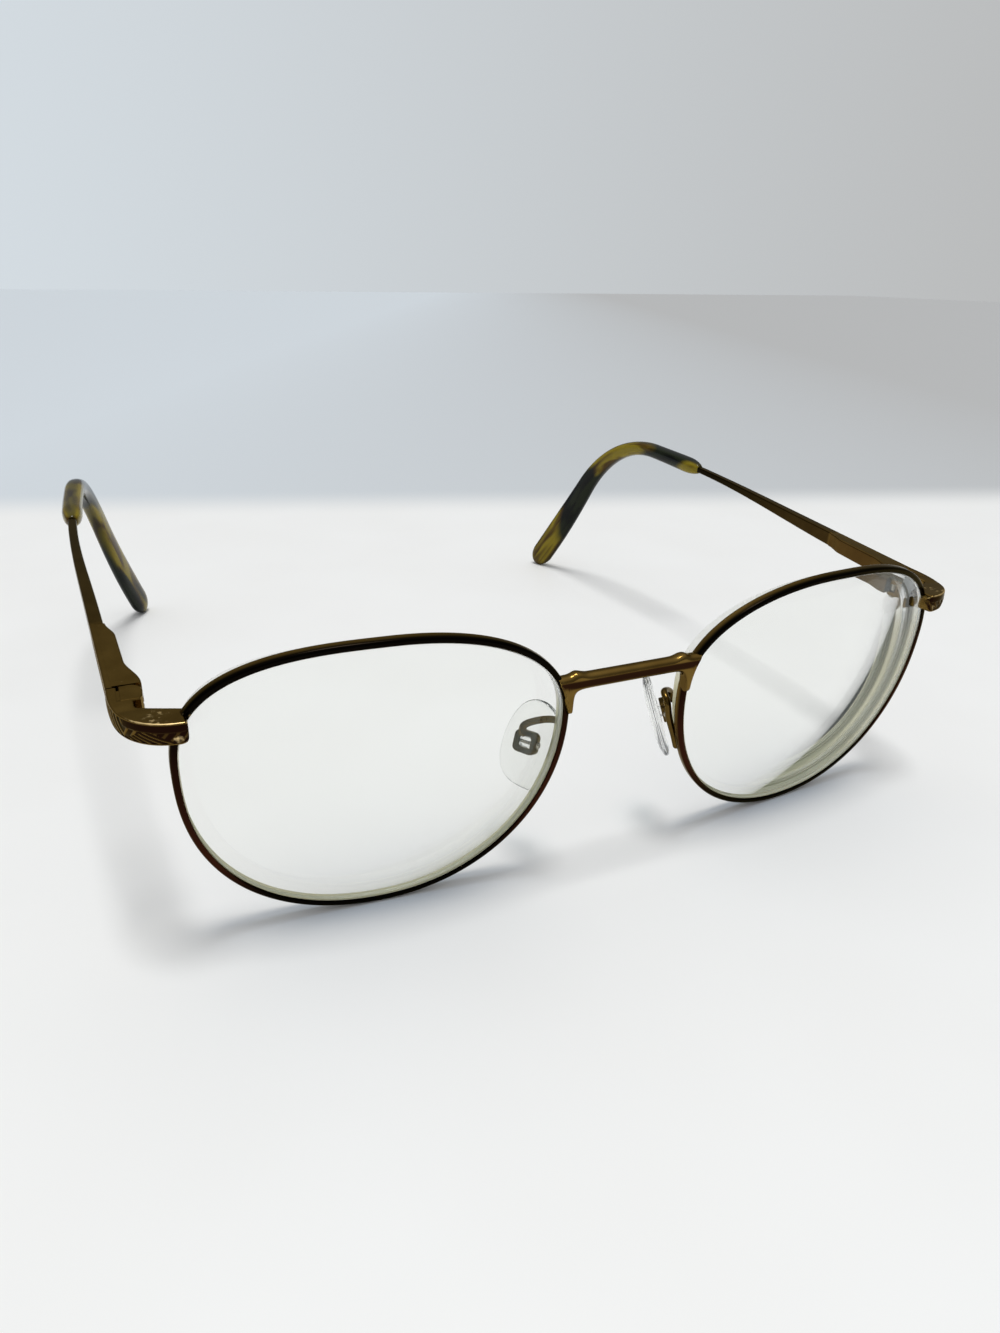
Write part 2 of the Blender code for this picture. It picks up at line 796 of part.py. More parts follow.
def make_rim_lock(side, name, material, envelope):
    """The lower closing block on the rim's end, drilled for the screw that closes the rim."""
    lock = lock_frame(side)
    piece = block(
        name, lock, (-braze_film, 0.0, -lock_height), (lock_width, lock_depth, 0.0), material
    )
    soften(piece, edge_round)
    centre = lock(lock_screw_out, lock_depth / 2, 0.0)
    up = lock(lock_screw_out, lock_depth / 2, 1.0) - centre
    hole_radius = lock_screw_radius + running_clearance
    hole = bore(name + "_screw_hole", hole_radius, -2 * lock_height, lock_height, centre, up)
    return cut(piece, envelope, hole)


def make_slotted_screw(name, place, axis, size, material, origin=None):
    """A screw whose head sits below its place, with a driver slot across it.

    Its size is the shank's radius and length, then the head's radius and height.
    """
    radius, length, head_radius, head_height = size
    centre = np.asarray(place)
    crown = screw_crown * head_height
    screw = turned(
        name,
        [
            (-head_height, head_radius - crown),
            (-head_height + crown, head_radius),
            (-braze_film / 2, head_radius),
            (-braze_film / 2, radius),
            (length - crown, radius),
            (length, radius - crown),
        ],
        centre,
        axis,
        material,
        origin,
    )
    axis = np.asarray(axis) / np.linalg.norm(axis)
    across = np.cross(axis, (0.0, 1.0, 0.0))
    across = across / np.linalg.norm(across)
    deep = np.cross(axis, across)
    half = screw_slot_width * head_radius / 2

    def slot_point(x, s, t):
        return centre + np.multiply.outer(x, across) + np.multiply.outer(s, deep) + t * axis

    slot = block(
        name + "_slot",
        slot_point,
        (-2 * head_radius, -half, -2 * head_height),
        (2 * head_radius, half, -screw_slot_depth * head_height),
    )
    return cut(screw, slot)


def make_lock_screw(side, name, material):
    """The screw that pulls the closing block up into the endpiece."""
    lock = lock_frame(side)
    centre = lock(lock_screw_out, lock_depth / 2, -lock_height)
    up = lock(lock_screw_out, lock_depth / 2, 0.0) - centre
    length = lock_height + lock_screw_reach - running_clearance
    size = (lock_screw_radius, length, lock_screw_head_radius, lock_screw_head_height)
    return make_slotted_screw(name, centre, up, size, material)


def make_hinge_fork(side, name, material):
    """Two eyes in one block, brazed to the endpiece, with a slot between them for the tongue."""
    place = partial(hinge_point, side)
    outline = [
        (fork_outer, -fork_base_front),
        (fork_outer, fork_radius - fork_corner),
        *arc(0.0, 0.0, fork_radius, 75, 180, 7),
        (-fork_radius + fork_corner, -fork_waist_front),
        (-fork_base_inner, -fork_base_front),
    ]
    fork = prism(name, outline, place, -end_half_height, end_half_height, material)
    soften(fork, edge_round / 2, 1)
    slot_half = tongue_thickness / 2 + fork_clearance
    slot = block(
        name + "_slot",
        place,
        (-3 * fork_radius, -tongue_radius - fork_clearance, -slot_half),
        (3 * fork_radius, 3 * fork_radius, slot_half),
    )
    centre = hinge_point(side, 0.0, 0.0, 0.0)
    axis = hinge_point(side, 0.0, 0.0, 1.0) - centre
    hole_radius = hinge_screw_radius + running_clearance
    hole_top = end_half_height - fork_roof
    hole = bore(name + "_bore", hole_radius, -end_height, hole_top, centre, axis)
    return cut(fork, slot, hole)


def make_hinge_screw(side, name, material):
    """The screw that the temple turns on, put in from below; it ends under the fork's roof."""
    centre = hinge_point(side, 0.0, 0.0, 0.0)
    axis = hinge_point(side, 0.0, 0.0, 1.0) - centre
    under = hinge_point(side, 0.0, 0.0, -end_half_height - braze_film / 2)
    reach = end_height - fork_roof
    size = (hinge_screw_radius, reach, hinge_screw_head_radius, hinge_screw_head_height)
    return make_slotted_screw(name, under, axis, size, material, centre)


def make_tongue(side, name, material):
    """The slider: an eye on the screw, a flat bar and the rod that the spring sits on."""
    place = partial(hinge_point, side)
    outer = rod_offset + rod_radius + tongue_rod_margin
    outline = [
        (tongue_neck, tongue_neck_rear),
        (tongue_shoulder, tongue_shoulder_rear),
        (outer, tongue_full_rear),
        (outer, tongue_length),
        (tongue_inner_face, tongue_length),
        (tongue_inner_face, tongue_neck_rear),
        (-tongue_heel, tongue_heel_rear),
        *arc(0.0, 0.0, tongue_radius, 130, 360, 12),
    ]
    half = tongue_thickness / 2
    origin = hinge_point(side, 0.0, 0.0, 0.0)
    tongue = prism(name, outline, place, -half, half, material, origin)
    axis = hinge_point(side, 0.0, 0.0, 1.0) - origin
    hole_radius = hinge_screw_radius + running_clearance
    hole = bore(name + "_bore", hole_radius, -tongue_thickness, tongue_thickness, origin, axis)
    rod_start = hinge_point(side, rod_offset, tongue_length - rod_overlap, 0.0)
    back = hinge_point(side, rod_offset, tongue_length, 0.0) - rod_start
    rod_length = stop_front + stop_length / 2 - tongue_length + rod_overlap
    rod_profile = [(0.0, rod_radius), (rod_length, rod_radius)]
    rod = turned(name + "_rod", rod_profile, rod_start, back, None, segments=10)
    cut(tongue, hole)
    return modify(tongue, rod, "UNION")


def make_spring_stop(side, name, material):
    """The collar on the rod's end that the spring pushes against."""
    middle = stop_length / 2 + running_clearance
    hole = rod_radius + running_clearance
    turn = np.linspace(0.0, 2 * math.pi, 14, endpoint=False)
    origin = hinge_point(side, 0.0, 0.0, 0.0)
    profile = [
        (0.0, hole),
        (0.0, stop_radius),
        (stop_length - stop_chamfer, stop_radius),
        (stop_length, stop_radius - stop_chamfer),
        (stop_length, stop_bore_end),
        (middle, stop_bore_end),
        (middle, hole),
    ]
    rings = []
    for along, radius in profile:
        x = rod_offset + radius * np.cos(turn)
        t = radius * np.sin(turn)
        rings.append(hinge_point(side, x, stop_front + along, t))
    return loft(name, rings, material, origin, loop=True)


def make_spring(side, name, material):
    """A compression spring: one unbroken wire wound round the rod."""
    steps = int(spring_turns * spring_steps_per_turn)
    turn = np.linspace(0.0, 2 * math.pi * spring_turns, steps + 1)
    x = rod_offset + spring_coil_radius * np.cos(turn)
    t = spring_coil_radius * np.sin(turn)
    s = spring_front + spring_wire_radius + spring_pitch * turn / (2 * math.pi)
    route = hinge_point(side, x, s, t)
    origin = hinge_point(side, 0.0, 0.0, 0.0)
    own_gap = np.linalg.norm(route[spring_steps_per_turn:] - route[:-spring_steps_per_turn], axis=1)
    print(f"{name}: least gap between turns {(own_gap.min() - 2 * spring_wire_radius) / MM:.2f} mm")
    return wire_along(name, route, spring_wire_radius, material, 5, origin)


def housing_inner_face(s):
    """The spring box's face towards the head: bulging at the hinge and drawn in twice."""
    draw_in = housing_draw_in * smooth_step(s, housing_draw_start, housing_draw_end)
    slope = housing_slope * np.clip(s - housing_draw_end, 0.0, None)
    tail = housing_tail * smooth_step(s, housing_tail_start, housing_rear)
    return -housing_bulge + draw_in + slope + tail


def make_housing(side, name, material):
    """The spring box: its channel faces the temple's cover, behind a wall that the rod passes."""
    rings = []
    for s in np.linspace(housing_front, housing_rear, 18):
        inner = housing_inner_face(s)
        outer = outer_face(s) - housing_cover - braze_film
        top = end_half_height + temple_top_rise * s
        bottom = top - temple_height(s)
        ring = rounded_box_ring((outer - inner) / 2, (top - bottom) / 2, housing_corner, 2)
        x = (outer + inner) / 2 + ring[:, 0]
        rings.append(hinge_point(side, x, s, (top + bottom) / 2 + ring[:, 1]))
    origin = hinge_point(side, 0.0, 0.0, 0.0)
    housing = loft(name, rings, material, origin)
    place = partial(hinge_point, side)
    clear = slot_side_clearance
    open_side = outer_face(housing_rear)
    slot_half = tongue_thickness / 2 + clear
    slot = block(
        name + "_tongue_slot",
        place,
        (tongue_inner_face - clear, 0.0, -slot_half),
        (open_side, plug_front, slot_half),
    )
    notch_half = rod_radius + clear
    notch = block(
        name + "_rod_notch",
        place,
        (rod_offset - notch_half, plug_front - clear, -notch_half),
        (open_side, plug_front + plug_thickness + clear, notch_half),
    )
    chamber = block(
        name + "_spring_chamber",
        place,
        (rod_offset - chamber_half_height, plug_front + plug_thickness, -chamber_half_height),
        (open_side, chamber_rear, chamber_half_height),
    )
    return cut(housing, slot, notch, chamber)


def temple_section(c):
    """Half thickness, half height and lateral place of the metal temple at the distance c."""
    full = temple_thickness_rear + (temple_thickness_tip - temple_thickness_rear) * smooth_step(
        c, housing_rear, sleeve_start
    )
    thickness = np.where(c < housing_rear + braze_film, housing_cover, full)
    x = outer_face(c) - thickness / 2 - tip_lean_in(c)
    return thickness / 2, temple_height(c) / 2, x


def temple_ring(side, c, half_thickness, half_height, x, corner, steps):
    """One ring of points round the temple's line at the distance c."""
    s, t, heading = path_point(c)
    top_line = end_half_height + temple_top_rise * c - temple_height(c) / 2
    t = np.where(c < sleeve_start, top_line, t)
    ring = rounded_box_ring(half_thickness, half_height, corner, steps)
    ring_s = s + ring[:, 1] * np.sin(heading)
    ring_t = t + ring[:, 1] * np.cos(heading)
    return hinge_point(side, x + ring[:, 0], ring_s, ring_t)


def make_temple(side, name, material):
    """The metal temple: a cover over the spring box, a tapering wire, and a core in the tip."""
    step = housing_rear + braze_film
    front = endpiece_butt + butt_gap
    stations = np.concatenate(
        [
            np.linspace(front, housing_rear + braze_film / 2, 6),
            np.linspace(step, sleeve_start, 12),
            [bend_start],
            np.linspace(bend_start, bend_end, 8)[1:],
            np.linspace(bend_end, path_end - core_end_margin, 4)[1:],
        ]
    )
    rings = []
    for c in stations:
        half_thickness, half_height, x = temple_section(c)
        corner = min(temple_corner, 0.3 * half_height)
        rings.append(temple_ring(side, c, half_thickness, half_height, x, corner, 2))
    origin = hinge_point(side, 0.0, 0.0, 0.0)
    return loft(name, rings, material, origin)


def make_tip(side, name, material):
    """The moulded ear tip: a sleeve over the core, bent down, widening to a rounded end."""
    stations = np.concatenate(
        [
            np.linspace(sleeve_start, sleeve_start + tip_start_round, 3),
            np.linspace(sleeve_start + tip_start_round, bend_start, 4)[1:],
            np.linspace(bend_start, bend_end, 8)[1:],
            np.linspace(bend_end, path_end, 7)[1:],
        ]
    )
    rings = []
    for c in stations:
        opened = smooth_step(c, sleeve_start - tip_start_round / 2, sleeve_start + tip_start_round)
        start_round = tip_start_share + (1 - tip_start_share) * opened
        widen = smooth_step(c, bend_start + tip_end_margin, path_end - tip_end_margin)
        narrow = smooth_step(c, sleeve_start, bend_start)
        height = tip_height_sleeve + (tip_height_bend - tip_height_sleeve) * narrow
        height = height + (tip_height_end - tip_height_bend) * widen
        width = tip_width_sleeve + (tip_width_end - tip_width_sleeve) * widen
        rings.append(tip_ring(side, c, width * start_round / 2, height * start_round / 2))
    for share in np.sin(np.linspace(0.0, math.pi / 2, 6))[1:-1]:
        fade = math.sqrt(1 - share**2)
        c = path_end + tip_cap_length * share
        rings.append(tip_ring(side, c, tip_width_end * fade**0.7 / 2, tip_height_end * fade / 2))
    rings.reverse()
    core = []
    core_stations = np.concatenate(
        [
            [sleeve_start],
            [bend_start],
            np.linspace(bend_start, bend_end, 8)[1:],
            np.linspace(bend_end, path_end - core_end_margin + tip_bore_clearance, 4)[1:],
        ]
    )
    for c in core_stations:
        half_thickness, half_height, x = temple_section(c)
        half_thickness = half_thickness + tip_bore_clearance
        half_height = half_height + tip_bore_clearance
        core.append(tip_ring(side, c, half_thickness, half_height))
    end_place = tip_ring(side, path_end + tip_cap_length, 0.0, 0.0)[0]
    core_end = core[-1].mean(axis=0)
    origin = hinge_point(side, 0.0, 0.0, 0.0)
    return domed(name, rings + core, end_place, core_end, material, origin)


def tip_ring(side, c, half_width, half_height):
    """An oval ring round the tip's line, flatter at its sides than an ellipse."""
    turn = np.linspace(0.0, 2 * math.pi, tip_ring_points, endpoint=False)
    power = 2 / tip_section_power
    across = half_width * np.sign(np.cos(turn)) * np.abs(np.cos(turn)) ** power
    up = half_height * np.sign(np.sin(turn)) * np.abs(np.sin(turn)) ** power
    s, t, heading = path_point(c)
    x = outer_face(c) - temple_thickness_tip / 2 - tip_lean_in(c)
    return hinge_point(side, x + across, s + up * np.sin(heading), t + up * np.cos(heading))


def make_pad(side, name, material):
    """The soft nose pad: a domed oval with a lug that reaches into its box."""
    turn = np.linspace(0.0, 2 * math.pi, 20, endpoint=False)
    power = 2 / pad_outline_power
    rings = []
    # Each layer's share of the full outline, and its share of the thickness
    for share, rise in ((0.80, 0.0), (0.97, 0.16), (1.0, 0.42), (0.93, 0.68), (0.72, 0.88), (0.4, 0.98)):
        along = pad_width / 2 * share * np.sign(np.cos(turn)) * np.abs(np.cos(turn)) ** power
        up = pad_height / 2 * share * np.sign(np.sin(turn)) * np.abs(np.sin(turn)) ** power
        along = along * (1 - pad_narrowing * up / (pad_height / 2))
        rings.append(pad_point(side, along, up, rise * pad_thickness))
    origin = pad_point(side, 0.0, box_raise, -pad_axis_depth)
    start = pad_point(side, 0.0, 0.0, 0.0)
    end = pad_point(side, 0.0, 0.0, pad_thickness)
    pad = domed(name, rings, start, end, material, origin)
    lug = block(
        name + "_lug",
        partial(pad_point, side),
        (-pad_lug_thickness / 2, box_raise - pad_lug_height / 2, -pad_lug_reach),
        (pad_lug_thickness / 2, box_raise + pad_lug_height / 2, pad_lug_root),
    )
    modify(pad, lug, "UNION")
    return cut(pad, pad_screw_hole(side, name))


def pad_screw_hole(side, name):
    """The cross hole that the pad's screw passes, through lug and box."""
    centre = pad_point(side, 0.0, box_raise, -pad_axis_depth)
    along = pad_point(side, 1.0, box_raise, -pad_axis_depth) - centre
    hole_radius = pad_screw_radius + running_clearance
    return bore(name + "_screw_hole", hole_radius, -pad_width, pad_width, centre, along, 12)


def make_pad_box(side, name, material):
    """The metal box round the pad's lug: a ring, open to the pad and behind."""
    place = partial(pad_point, side)
    half_height = box_height / 2
    front, back = -box_pad_gap, -box_pad_gap - box_depth
    low = (-box_half_width, box_raise - half_height, back)
    high = (box_half_width, box_raise + half_height, front)
    piece = block(name, place, low, high, material)
    soften(piece, box_round)
    inner_width, inner_height = box_half_width - box_wall, half_height - box_wall
    room = block(
        name + "_room",
        place,
        (-inner_width, box_raise - inner_height, back - box_depth),
        (inner_width, box_raise + inner_height, front + box_depth),
    )
    return cut(piece, room, pad_screw_hole(side, name))


def make_pad_screw(side, name, material):
    """The cross screw that the pad rocks on."""
    centre = pad_point(side, 0.0, box_raise, -pad_axis_depth)
    along = pad_point(side, 1.0, box_raise, -pad_axis_depth) - centre
    start = pad_point(side, -box_half_width - braze_film / 2, box_raise, -pad_axis_depth)
    size = (pad_screw_radius, 2 * box_half_width, pad_screw_head_radius, pad_screw_head_height)
    return make_slotted_screw(name, start, along, size, material, centre)


def make_pad_arm(side, name, material):
    """The wire from behind the rim up over a crest and down to the pad box."""
    radius = pad_arm_wire / 2

    def behind_rim(rise, inset, off):
        lip_u, lip_v = nose_edge(rise)
        back = sag(lip_u, lip_v) + rim_depth + radius + braze_film + off
        return front_point(side, lip_u - inset, lip_v, back)

    box_back = -box_pad_gap - box_depth - radius - braze_film
    route = smooth_route(
        [
            behind_rim(-pad_arm_toe_drop, pad_arm_inset, 0.0),
            behind_rim(-pad_arm_foot_drop, pad_arm_inset, 0.0),
            behind_rim(-pad_arm_rise_drop, pad_arm_inset + pad_arm_rise_off, pad_arm_rise_off),
            behind_rim(pad_arm_top_rise, pad_arm_top_inset, pad_arm_top_off),
            behind_rim(pad_arm_crest_rise, pad_arm_crest_inset, pad_arm_crest_off),
            pad_point(side, 0.0, box_raise + pad_arm_above_box, box_back),
            pad_point(side, 0.0, box_raise + pad_arm_on_box, box_back),
        ],
        4,
    )
    return wire_along(name, route, radius, material, 8)


def clear_scene():
    """Removes everything that is in the scene."""
    for thing in list(bpy.data.objects):
        bpy.data.objects.remove(thing)


def main():
    """Makes every piece, the wearer's right side first."""
    clear_scene()
    bronze = metal("antique_bronze", (0.24, 0.17, 0.09), 0.30)
    dark_bronze = metal("dark_bronze", (0.13, 0.10, 0.07), 0.32)
    steel = metal("plated_steel", (0.55, 0.50, 0.42), 0.30)
    lens_clear = surface("lens_clear", (0.95, 0.98, 0.97), 0.02, see_through=1.0)
    silicone = surface("clear_silicone", (0.90, 0.92, 0.88), 0.15, see_through=0.8)
    acetate = surface("olive_tortoise_acetate", (0.20, 0.19, 0.06), 0.12)
    envelopes = []
    for side, hand in ((-1, "right"), (1, "left")):
        envelope = make_rim_envelope(side, "rim_envelope_" + hand)
        envelopes.append(envelope)
        make_rim(side, "rim_" + hand, bronze)
        make_lens(side, "lens_" + hand, lens_clear)
        make_endpiece(side, "endpiece_" + hand, bronze, envelope)
        make_rim_lock(side, "rim_lock_" + hand, bronze, envelope)
        make_lock_screw(side, "rim_lock_screw_" + hand, steel)
        make_hinge_fork(side, "hinge_fork_" + hand, bronze)
        make_hinge_screw(side, "hinge_screw_" + hand, steel)
        make_tongue(side, "hinge_tongue_" + hand, steel)
        make_spring(side, "hinge_spring_" + hand, steel)
        make_spring_stop(side, "spring_stop_" + hand, steel)
        make_housing(side, "spring_housing_" + hand, bronze)
        make_temple(side, "temple_" + hand, dark_bronze)
        make_tip(side, "temple_tip_" + hand, acetate)
        make_pad(side, "nose_pad_" + hand, silicone)
        make_pad_box(side, "pad_box_" + hand, steel)
        make_pad_screw(side, "pad_screw_" + hand, steel)
        make_pad_arm(side, "pad_arm_" + hand, bronze)
    make_bridge(bronze, envelopes)


main()
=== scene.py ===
"""Looks of the metal spectacles: the finer pieces, their finishes, the table, light and camera.

The frame is the solids' own: +X is the wearer's left, +Y runs back along the temples, +Z is up
and the table is at z = 0. Lengths are in metres. Each fine piece is a skin over rings of points,
worked out from the same sizes and curves as the solid that it stands for.
"""

import math

import bmesh
import bpy
import numpy as np
from mathutils import Matrix, Vector


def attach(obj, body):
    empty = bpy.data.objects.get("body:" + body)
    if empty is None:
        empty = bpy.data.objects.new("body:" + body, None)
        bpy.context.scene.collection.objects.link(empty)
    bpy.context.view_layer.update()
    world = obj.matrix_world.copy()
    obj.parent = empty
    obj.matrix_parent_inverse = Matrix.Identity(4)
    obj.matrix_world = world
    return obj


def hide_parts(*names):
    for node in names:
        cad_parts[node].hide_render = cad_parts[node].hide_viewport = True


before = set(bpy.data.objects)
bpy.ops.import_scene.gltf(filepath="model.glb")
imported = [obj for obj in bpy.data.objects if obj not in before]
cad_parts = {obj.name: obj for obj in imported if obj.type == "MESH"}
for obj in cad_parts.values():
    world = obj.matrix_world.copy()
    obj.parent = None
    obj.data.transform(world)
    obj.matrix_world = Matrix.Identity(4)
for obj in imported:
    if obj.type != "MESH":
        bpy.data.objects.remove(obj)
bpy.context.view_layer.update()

MM = 0.001
crease_angle = math.radians(38.0)
corner_points = 7

# Lens openings and how the front stands
opening_width = 48.15 * MM
opening_top_rise = 14.5 * MM
opening_bottom_drop = 24.6 * MM
top_temple_power = 2.57
top_nose_power = 2.14
bottom_nose_power = 2.08
bottom_temple_power = 2.29
opening_spacing = 19.4 * MM
outline_steps = 2880
front_lean = math.radians(7.8)
face_wrap = math.radians(4.55)
lens_front_radius = 100.0 * MM

# Rim wire
rim_wall = 0.85 * MM
rim_depth = 1.6 * MM
rim_round = 0.45 * MM
rim_lip_round = 0.10 * MM
groove_depth = 0.42 * MM
groove_half_width = 0.48 * MM
rim_split_rise = 12.0 * MM
rim_split_gap = 0.30 * MM
rim_worn_length = 2.2 * MM
rim_worn_most = 0.36
# Painted shade on the wire's front fades out over these shares of its depth
rim_painted_front_shade = (0.25, 0.42)
rim_sections = 420

# Lenses
lens_centre_thickness = 1.6 * MM
lens_back_radius = 62.0 * MM
lens_inset = 0.25 * MM
lens_play = 0.12 * MM
lens_bevel_height = 0.37 * MM
lens_bevel_half_width = 0.36 * MM
lens_chamfer = 0.30 * MM
lens_points = 260
lens_layers = 16
lens_first_turn = 0.02
lens_last_share = 0.998
lens_lit_turn = (-0.2, 0.6)

braze_film = 0.10 * MM

# Bridge
bridge_height = 2.15 * MM
bridge_depth = 2.0 * MM
bridge_rounding = 0.41
bridge_rise = 10.4 * MM
bridge_proud = 0.47 * MM
bridge_fillet = 3.3 * MM
bridge_fillet_foot = 0.5 * MM
bridge_fillet_spread = 0.62 * MM
bridge_shoulder = 0.38 * MM
bridge_shoulder_place = 7.9 * MM
bridge_shoulder_half_width = 0.9 * MM
# Painted highlights at the bar's ends, and how dark its painted front band and the painted shade
# below it are
bridge_highlight_length = 1.6 * MM
bridge_highlight_most = 0.40
bridge_painted_band_most = 0.97
bridge_painted_shade_below = 0.45
bridge_sections = 181
rim_reach_share = 0.45

# Hinge place, endpiece and spring box
hinge_outside_rim = 4.4 * MM
hinge_behind_rim = 8.5 * MM
temple_rise = math.radians(3.8)
end_height = 2.85 * MM
endpiece_bar_depth = 3.8 * MM
endpiece_butt = 1.10 * MM
endpiece_strip = 1.25 * MM
butt_gap = 0.20 * MM
edge_round = 0.26 * MM
face_bulge = 0.10 * MM
endpiece_lap = 0.10 * MM
endpiece_proud = 1.70 * MM
corner_power = 2.5
corner_root = 0.45
heel_inside = 1.10 * MM
heel_drop = 1.40 * MM
heel_radius = 0.80 * MM
endpiece_level_from = 5.0 * MM
fork_base_front = 2.30 * MM
fork_outer = 1.15 * MM
braze_lap = 0.20 * MM
braze_round = 0.05 * MM
braze_end = 0.25 * MM
braze_layers = 5
lock_socket_rise = 0.40 * MM
housing_front = 1.60 * MM
housing_rear = 19.90 * MM
housing_cover = 0.95 * MM
housing_bulge = 1.50 * MM
housing_draw_in = 1.55 * MM
housing_draw_start = 2.0 * MM
housing_draw_end = 8.5 * MM
housing_slope = 0.055
housing_tail = 0.80 * MM
housing_tail_start = 16.0 * MM
housing_round = 0.24 * MM
housing_lap = 0.45 * MM
housing_sections = 110
braze_dip = 0.02 * MM

# Temple, ear bend and tip
outer_face_start = 2.52 * MM
temple_splay = 0.0484
temple_thickness_rear = 1.80 * MM
temple_thickness_tip = 1.35 * MM
temple_height_housing = 2.6 * MM
temple_height_tip = 1.25 * MM
temple_top_rise = 0.0100
temple_taper_start = 19.0 * MM
temple_taper_power = 0.7
temple_round = 0.30 * MM
temple_round_most = 0.45
sleeve_start = 64.3 * MM
bend_start = 82.9 * MM
bend_radius = 28.7 * MM
bend_angle = math.radians(63.0)
tip_lean_start = 40.0 * MM
tip_lean_length = 59.0 * MM
tip_lean_power = 2.2
tip_lean = 4.6 * MM
tip_width_sleeve = 3.3 * MM
tip_height_sleeve = 3.6 * MM
tip_height_bend = 3.3 * MM
tip_height_end = 6.4 * MM
tip_width_end = 3.0 * MM
tip_cap_length = 4.2 * MM
tip_section_power = 2.4
tip_points = 40
tip_mouth_power = 0.7
tip_cap_power = 0.7
tip_end_margin = 4.0 * MM
tip_mouth_start = 65.6 * MM
tip_mouth_length = 5.0 * MM
tip_mouth_share = 0.42
tip_mouth_clear = 1.1
tip_mouth_layers, tip_cap_layers = 14, 16
tip_amber_spacing = 42.0 * MM
tip_amber_left = 97.0 * MM
tip_amber_right = 115.0 * MM
tip_twist = math.radians(20.0)
tip_pattern_shift = 170.0 * MM
core_end_margin = 9.0 * MM

# Nose pads, boxes and arms
pad_half_span = 11.0 * MM
pad_behind_rims = 7.85 * MM
pad_drop = 1.4 * MM
pad_splay = math.radians(27.5)
pad_tilt = math.radians(18.5)
pad_height = 13.3 * MM
pad_width = 8.6 * MM
pad_thickness = 1.7 * MM
pad_outline_power = 2.3
pad_points = 72
pad_layers = 34
pad_last_turn = math.pi / 2 - 0.02
pad_narrowing = 0.14
pad_widest_height = 0.42
pad_dome_powers = (0.62, 1.1)
pad_back_powers = (0.22, 0.9)
pad_lug_height = 1.5 * MM
pad_lug_thickness = 1.5 * MM
pad_lug_reach = 1.45 * MM
pad_lug_round = 0.25 * MM
pad_lug_layers = 12
pad_lug_end_round, pad_lug_end_length = 0.12 * MM, 0.2 * MM
box_raise = 0.45 * MM
box_wall = 0.70 * MM
box_height = 3.3 * MM
box_depth = 1.35 * MM
box_pad_gap = 0.25 * MM
box_lug_clearance = 0.12 * MM
box_corner = 0.45 * MM
box_round = 0.16 * MM
pad_arm_wire = 1.0 * MM
# The wire's route behind the rim in mm: height, inset from the opening's edge, and gap
pad_arm_route = (
    (-5.6, 0.55, 0.0),
    (-3.2, 0.55, 0.0),
    (-0.2, 0.90, 0.35),
    (2.29, 0.99, 0.81),
    (2.96, 0.42, 2.55),
)
pad_arm_above_box = 2.7 * MM
pad_arm_on_box = 0.9 * MM
pad_arm_steps = 14
wire_points = 20
pad_arm_end_share = 0.035
pad_arm_end_round = 0.8

# Hatching cut into the endpieces and the first stretch of the temples
hatch_depth = 0.10 * MM
ridge_flank = (0.26, 0.40)
rib_pitch = 0.98 * MM
rib_slant = 0.75
stroke_pitch = 1.25 * MM
stroke_slant = 0.8
fan_pitch = 0.50 * MM
fan_slant = 0.42
fan_from_rim = 4.6 * MM
fan_half_width = 3.3 * MM
fan_rise = 1.5
ribs_end_front, ribs_end_blur = 8.0 * MM, 0.4 * MM
endpiece_end_round = 0.35 * MM
endpiece_heel_round = 1.1 * MM
endpiece_heel_lift = 0.6
endpiece_sections = 260
endpiece_steps = 2001
step_run_length = 0.06 * MM
heel_run_start, heel_run_end = 1.2 * MM, 4.8 * MM
ribs_fade_start = 11.0 * MM
ribs_fade_end = 20.0 * MM
edge_fade_start = 0.90
plain_top_levels = (0.15, 0.35)

# The way a section's points face, outwards, inwards, up or down, from 0 (not at all) to 1
hatched_turn = 0.99
inside_turn = (0.3, 0.8)
top_turn = 0.3
bridge_front_turn, bridge_below_turn = 0.05, (0.5, 0.8)
endpiece_top_turn, endpiece_edge_turn, endpiece_below_turn = 0.5, 0.35, (0.2, 0.7)

# How dark each piece is from real lacquer and from painted shade (0 to 1), how reddish it is (0
# to 1), and how hard the metal is rubbed, painted highlights included
# Painted shade on the rim's lower part
rim_painted_side_shade = 0.40
rim_side_turn = (-0.35, 0.5)
rim_below_turn = (0.45, 0.85)
# Painted dark band along the bridge's front, between these heights
bridge_painted_band_top = (0.28, 0.46)
bridge_painted_band_bottom = (-0.70, -0.48)
bridge_copper = 0.5
rib_olive = 0.9
stroke_olive_near, stroke_olive_more = 0.30, 0.50
stroke_olive_from, stroke_olive_to = 4.5 * MM, 6.5 * MM
# Painted shade under the endpiece
endpiece_painted_shade_below = 0.3
endpiece_copper = 0.3
# Painted highlight along the endpiece's top front edge, from and to these distances from the rim
edge_painted_highlight, edge_highlight_from, edge_highlight_to = 0.56, 9.0 * MM, 6.0 * MM
top_rub, top_rub_middle, top_rub_width = 0.44, 4.0 * MM, 2.6 * MM
end_rub, end_rub_middle, end_rub_width = 0.46, 1.2 * MM, 1.1 * MM
end_rub_levels = (-0.1, 0.4)
# Painted shade on the spring box's faces towards the head
housing_painted_shade_inside = 0.58
housing_copper = 0.8
housing_rub, housing_rub_more, housing_rub_length = 0.20, 0.15, 2.5 * MM
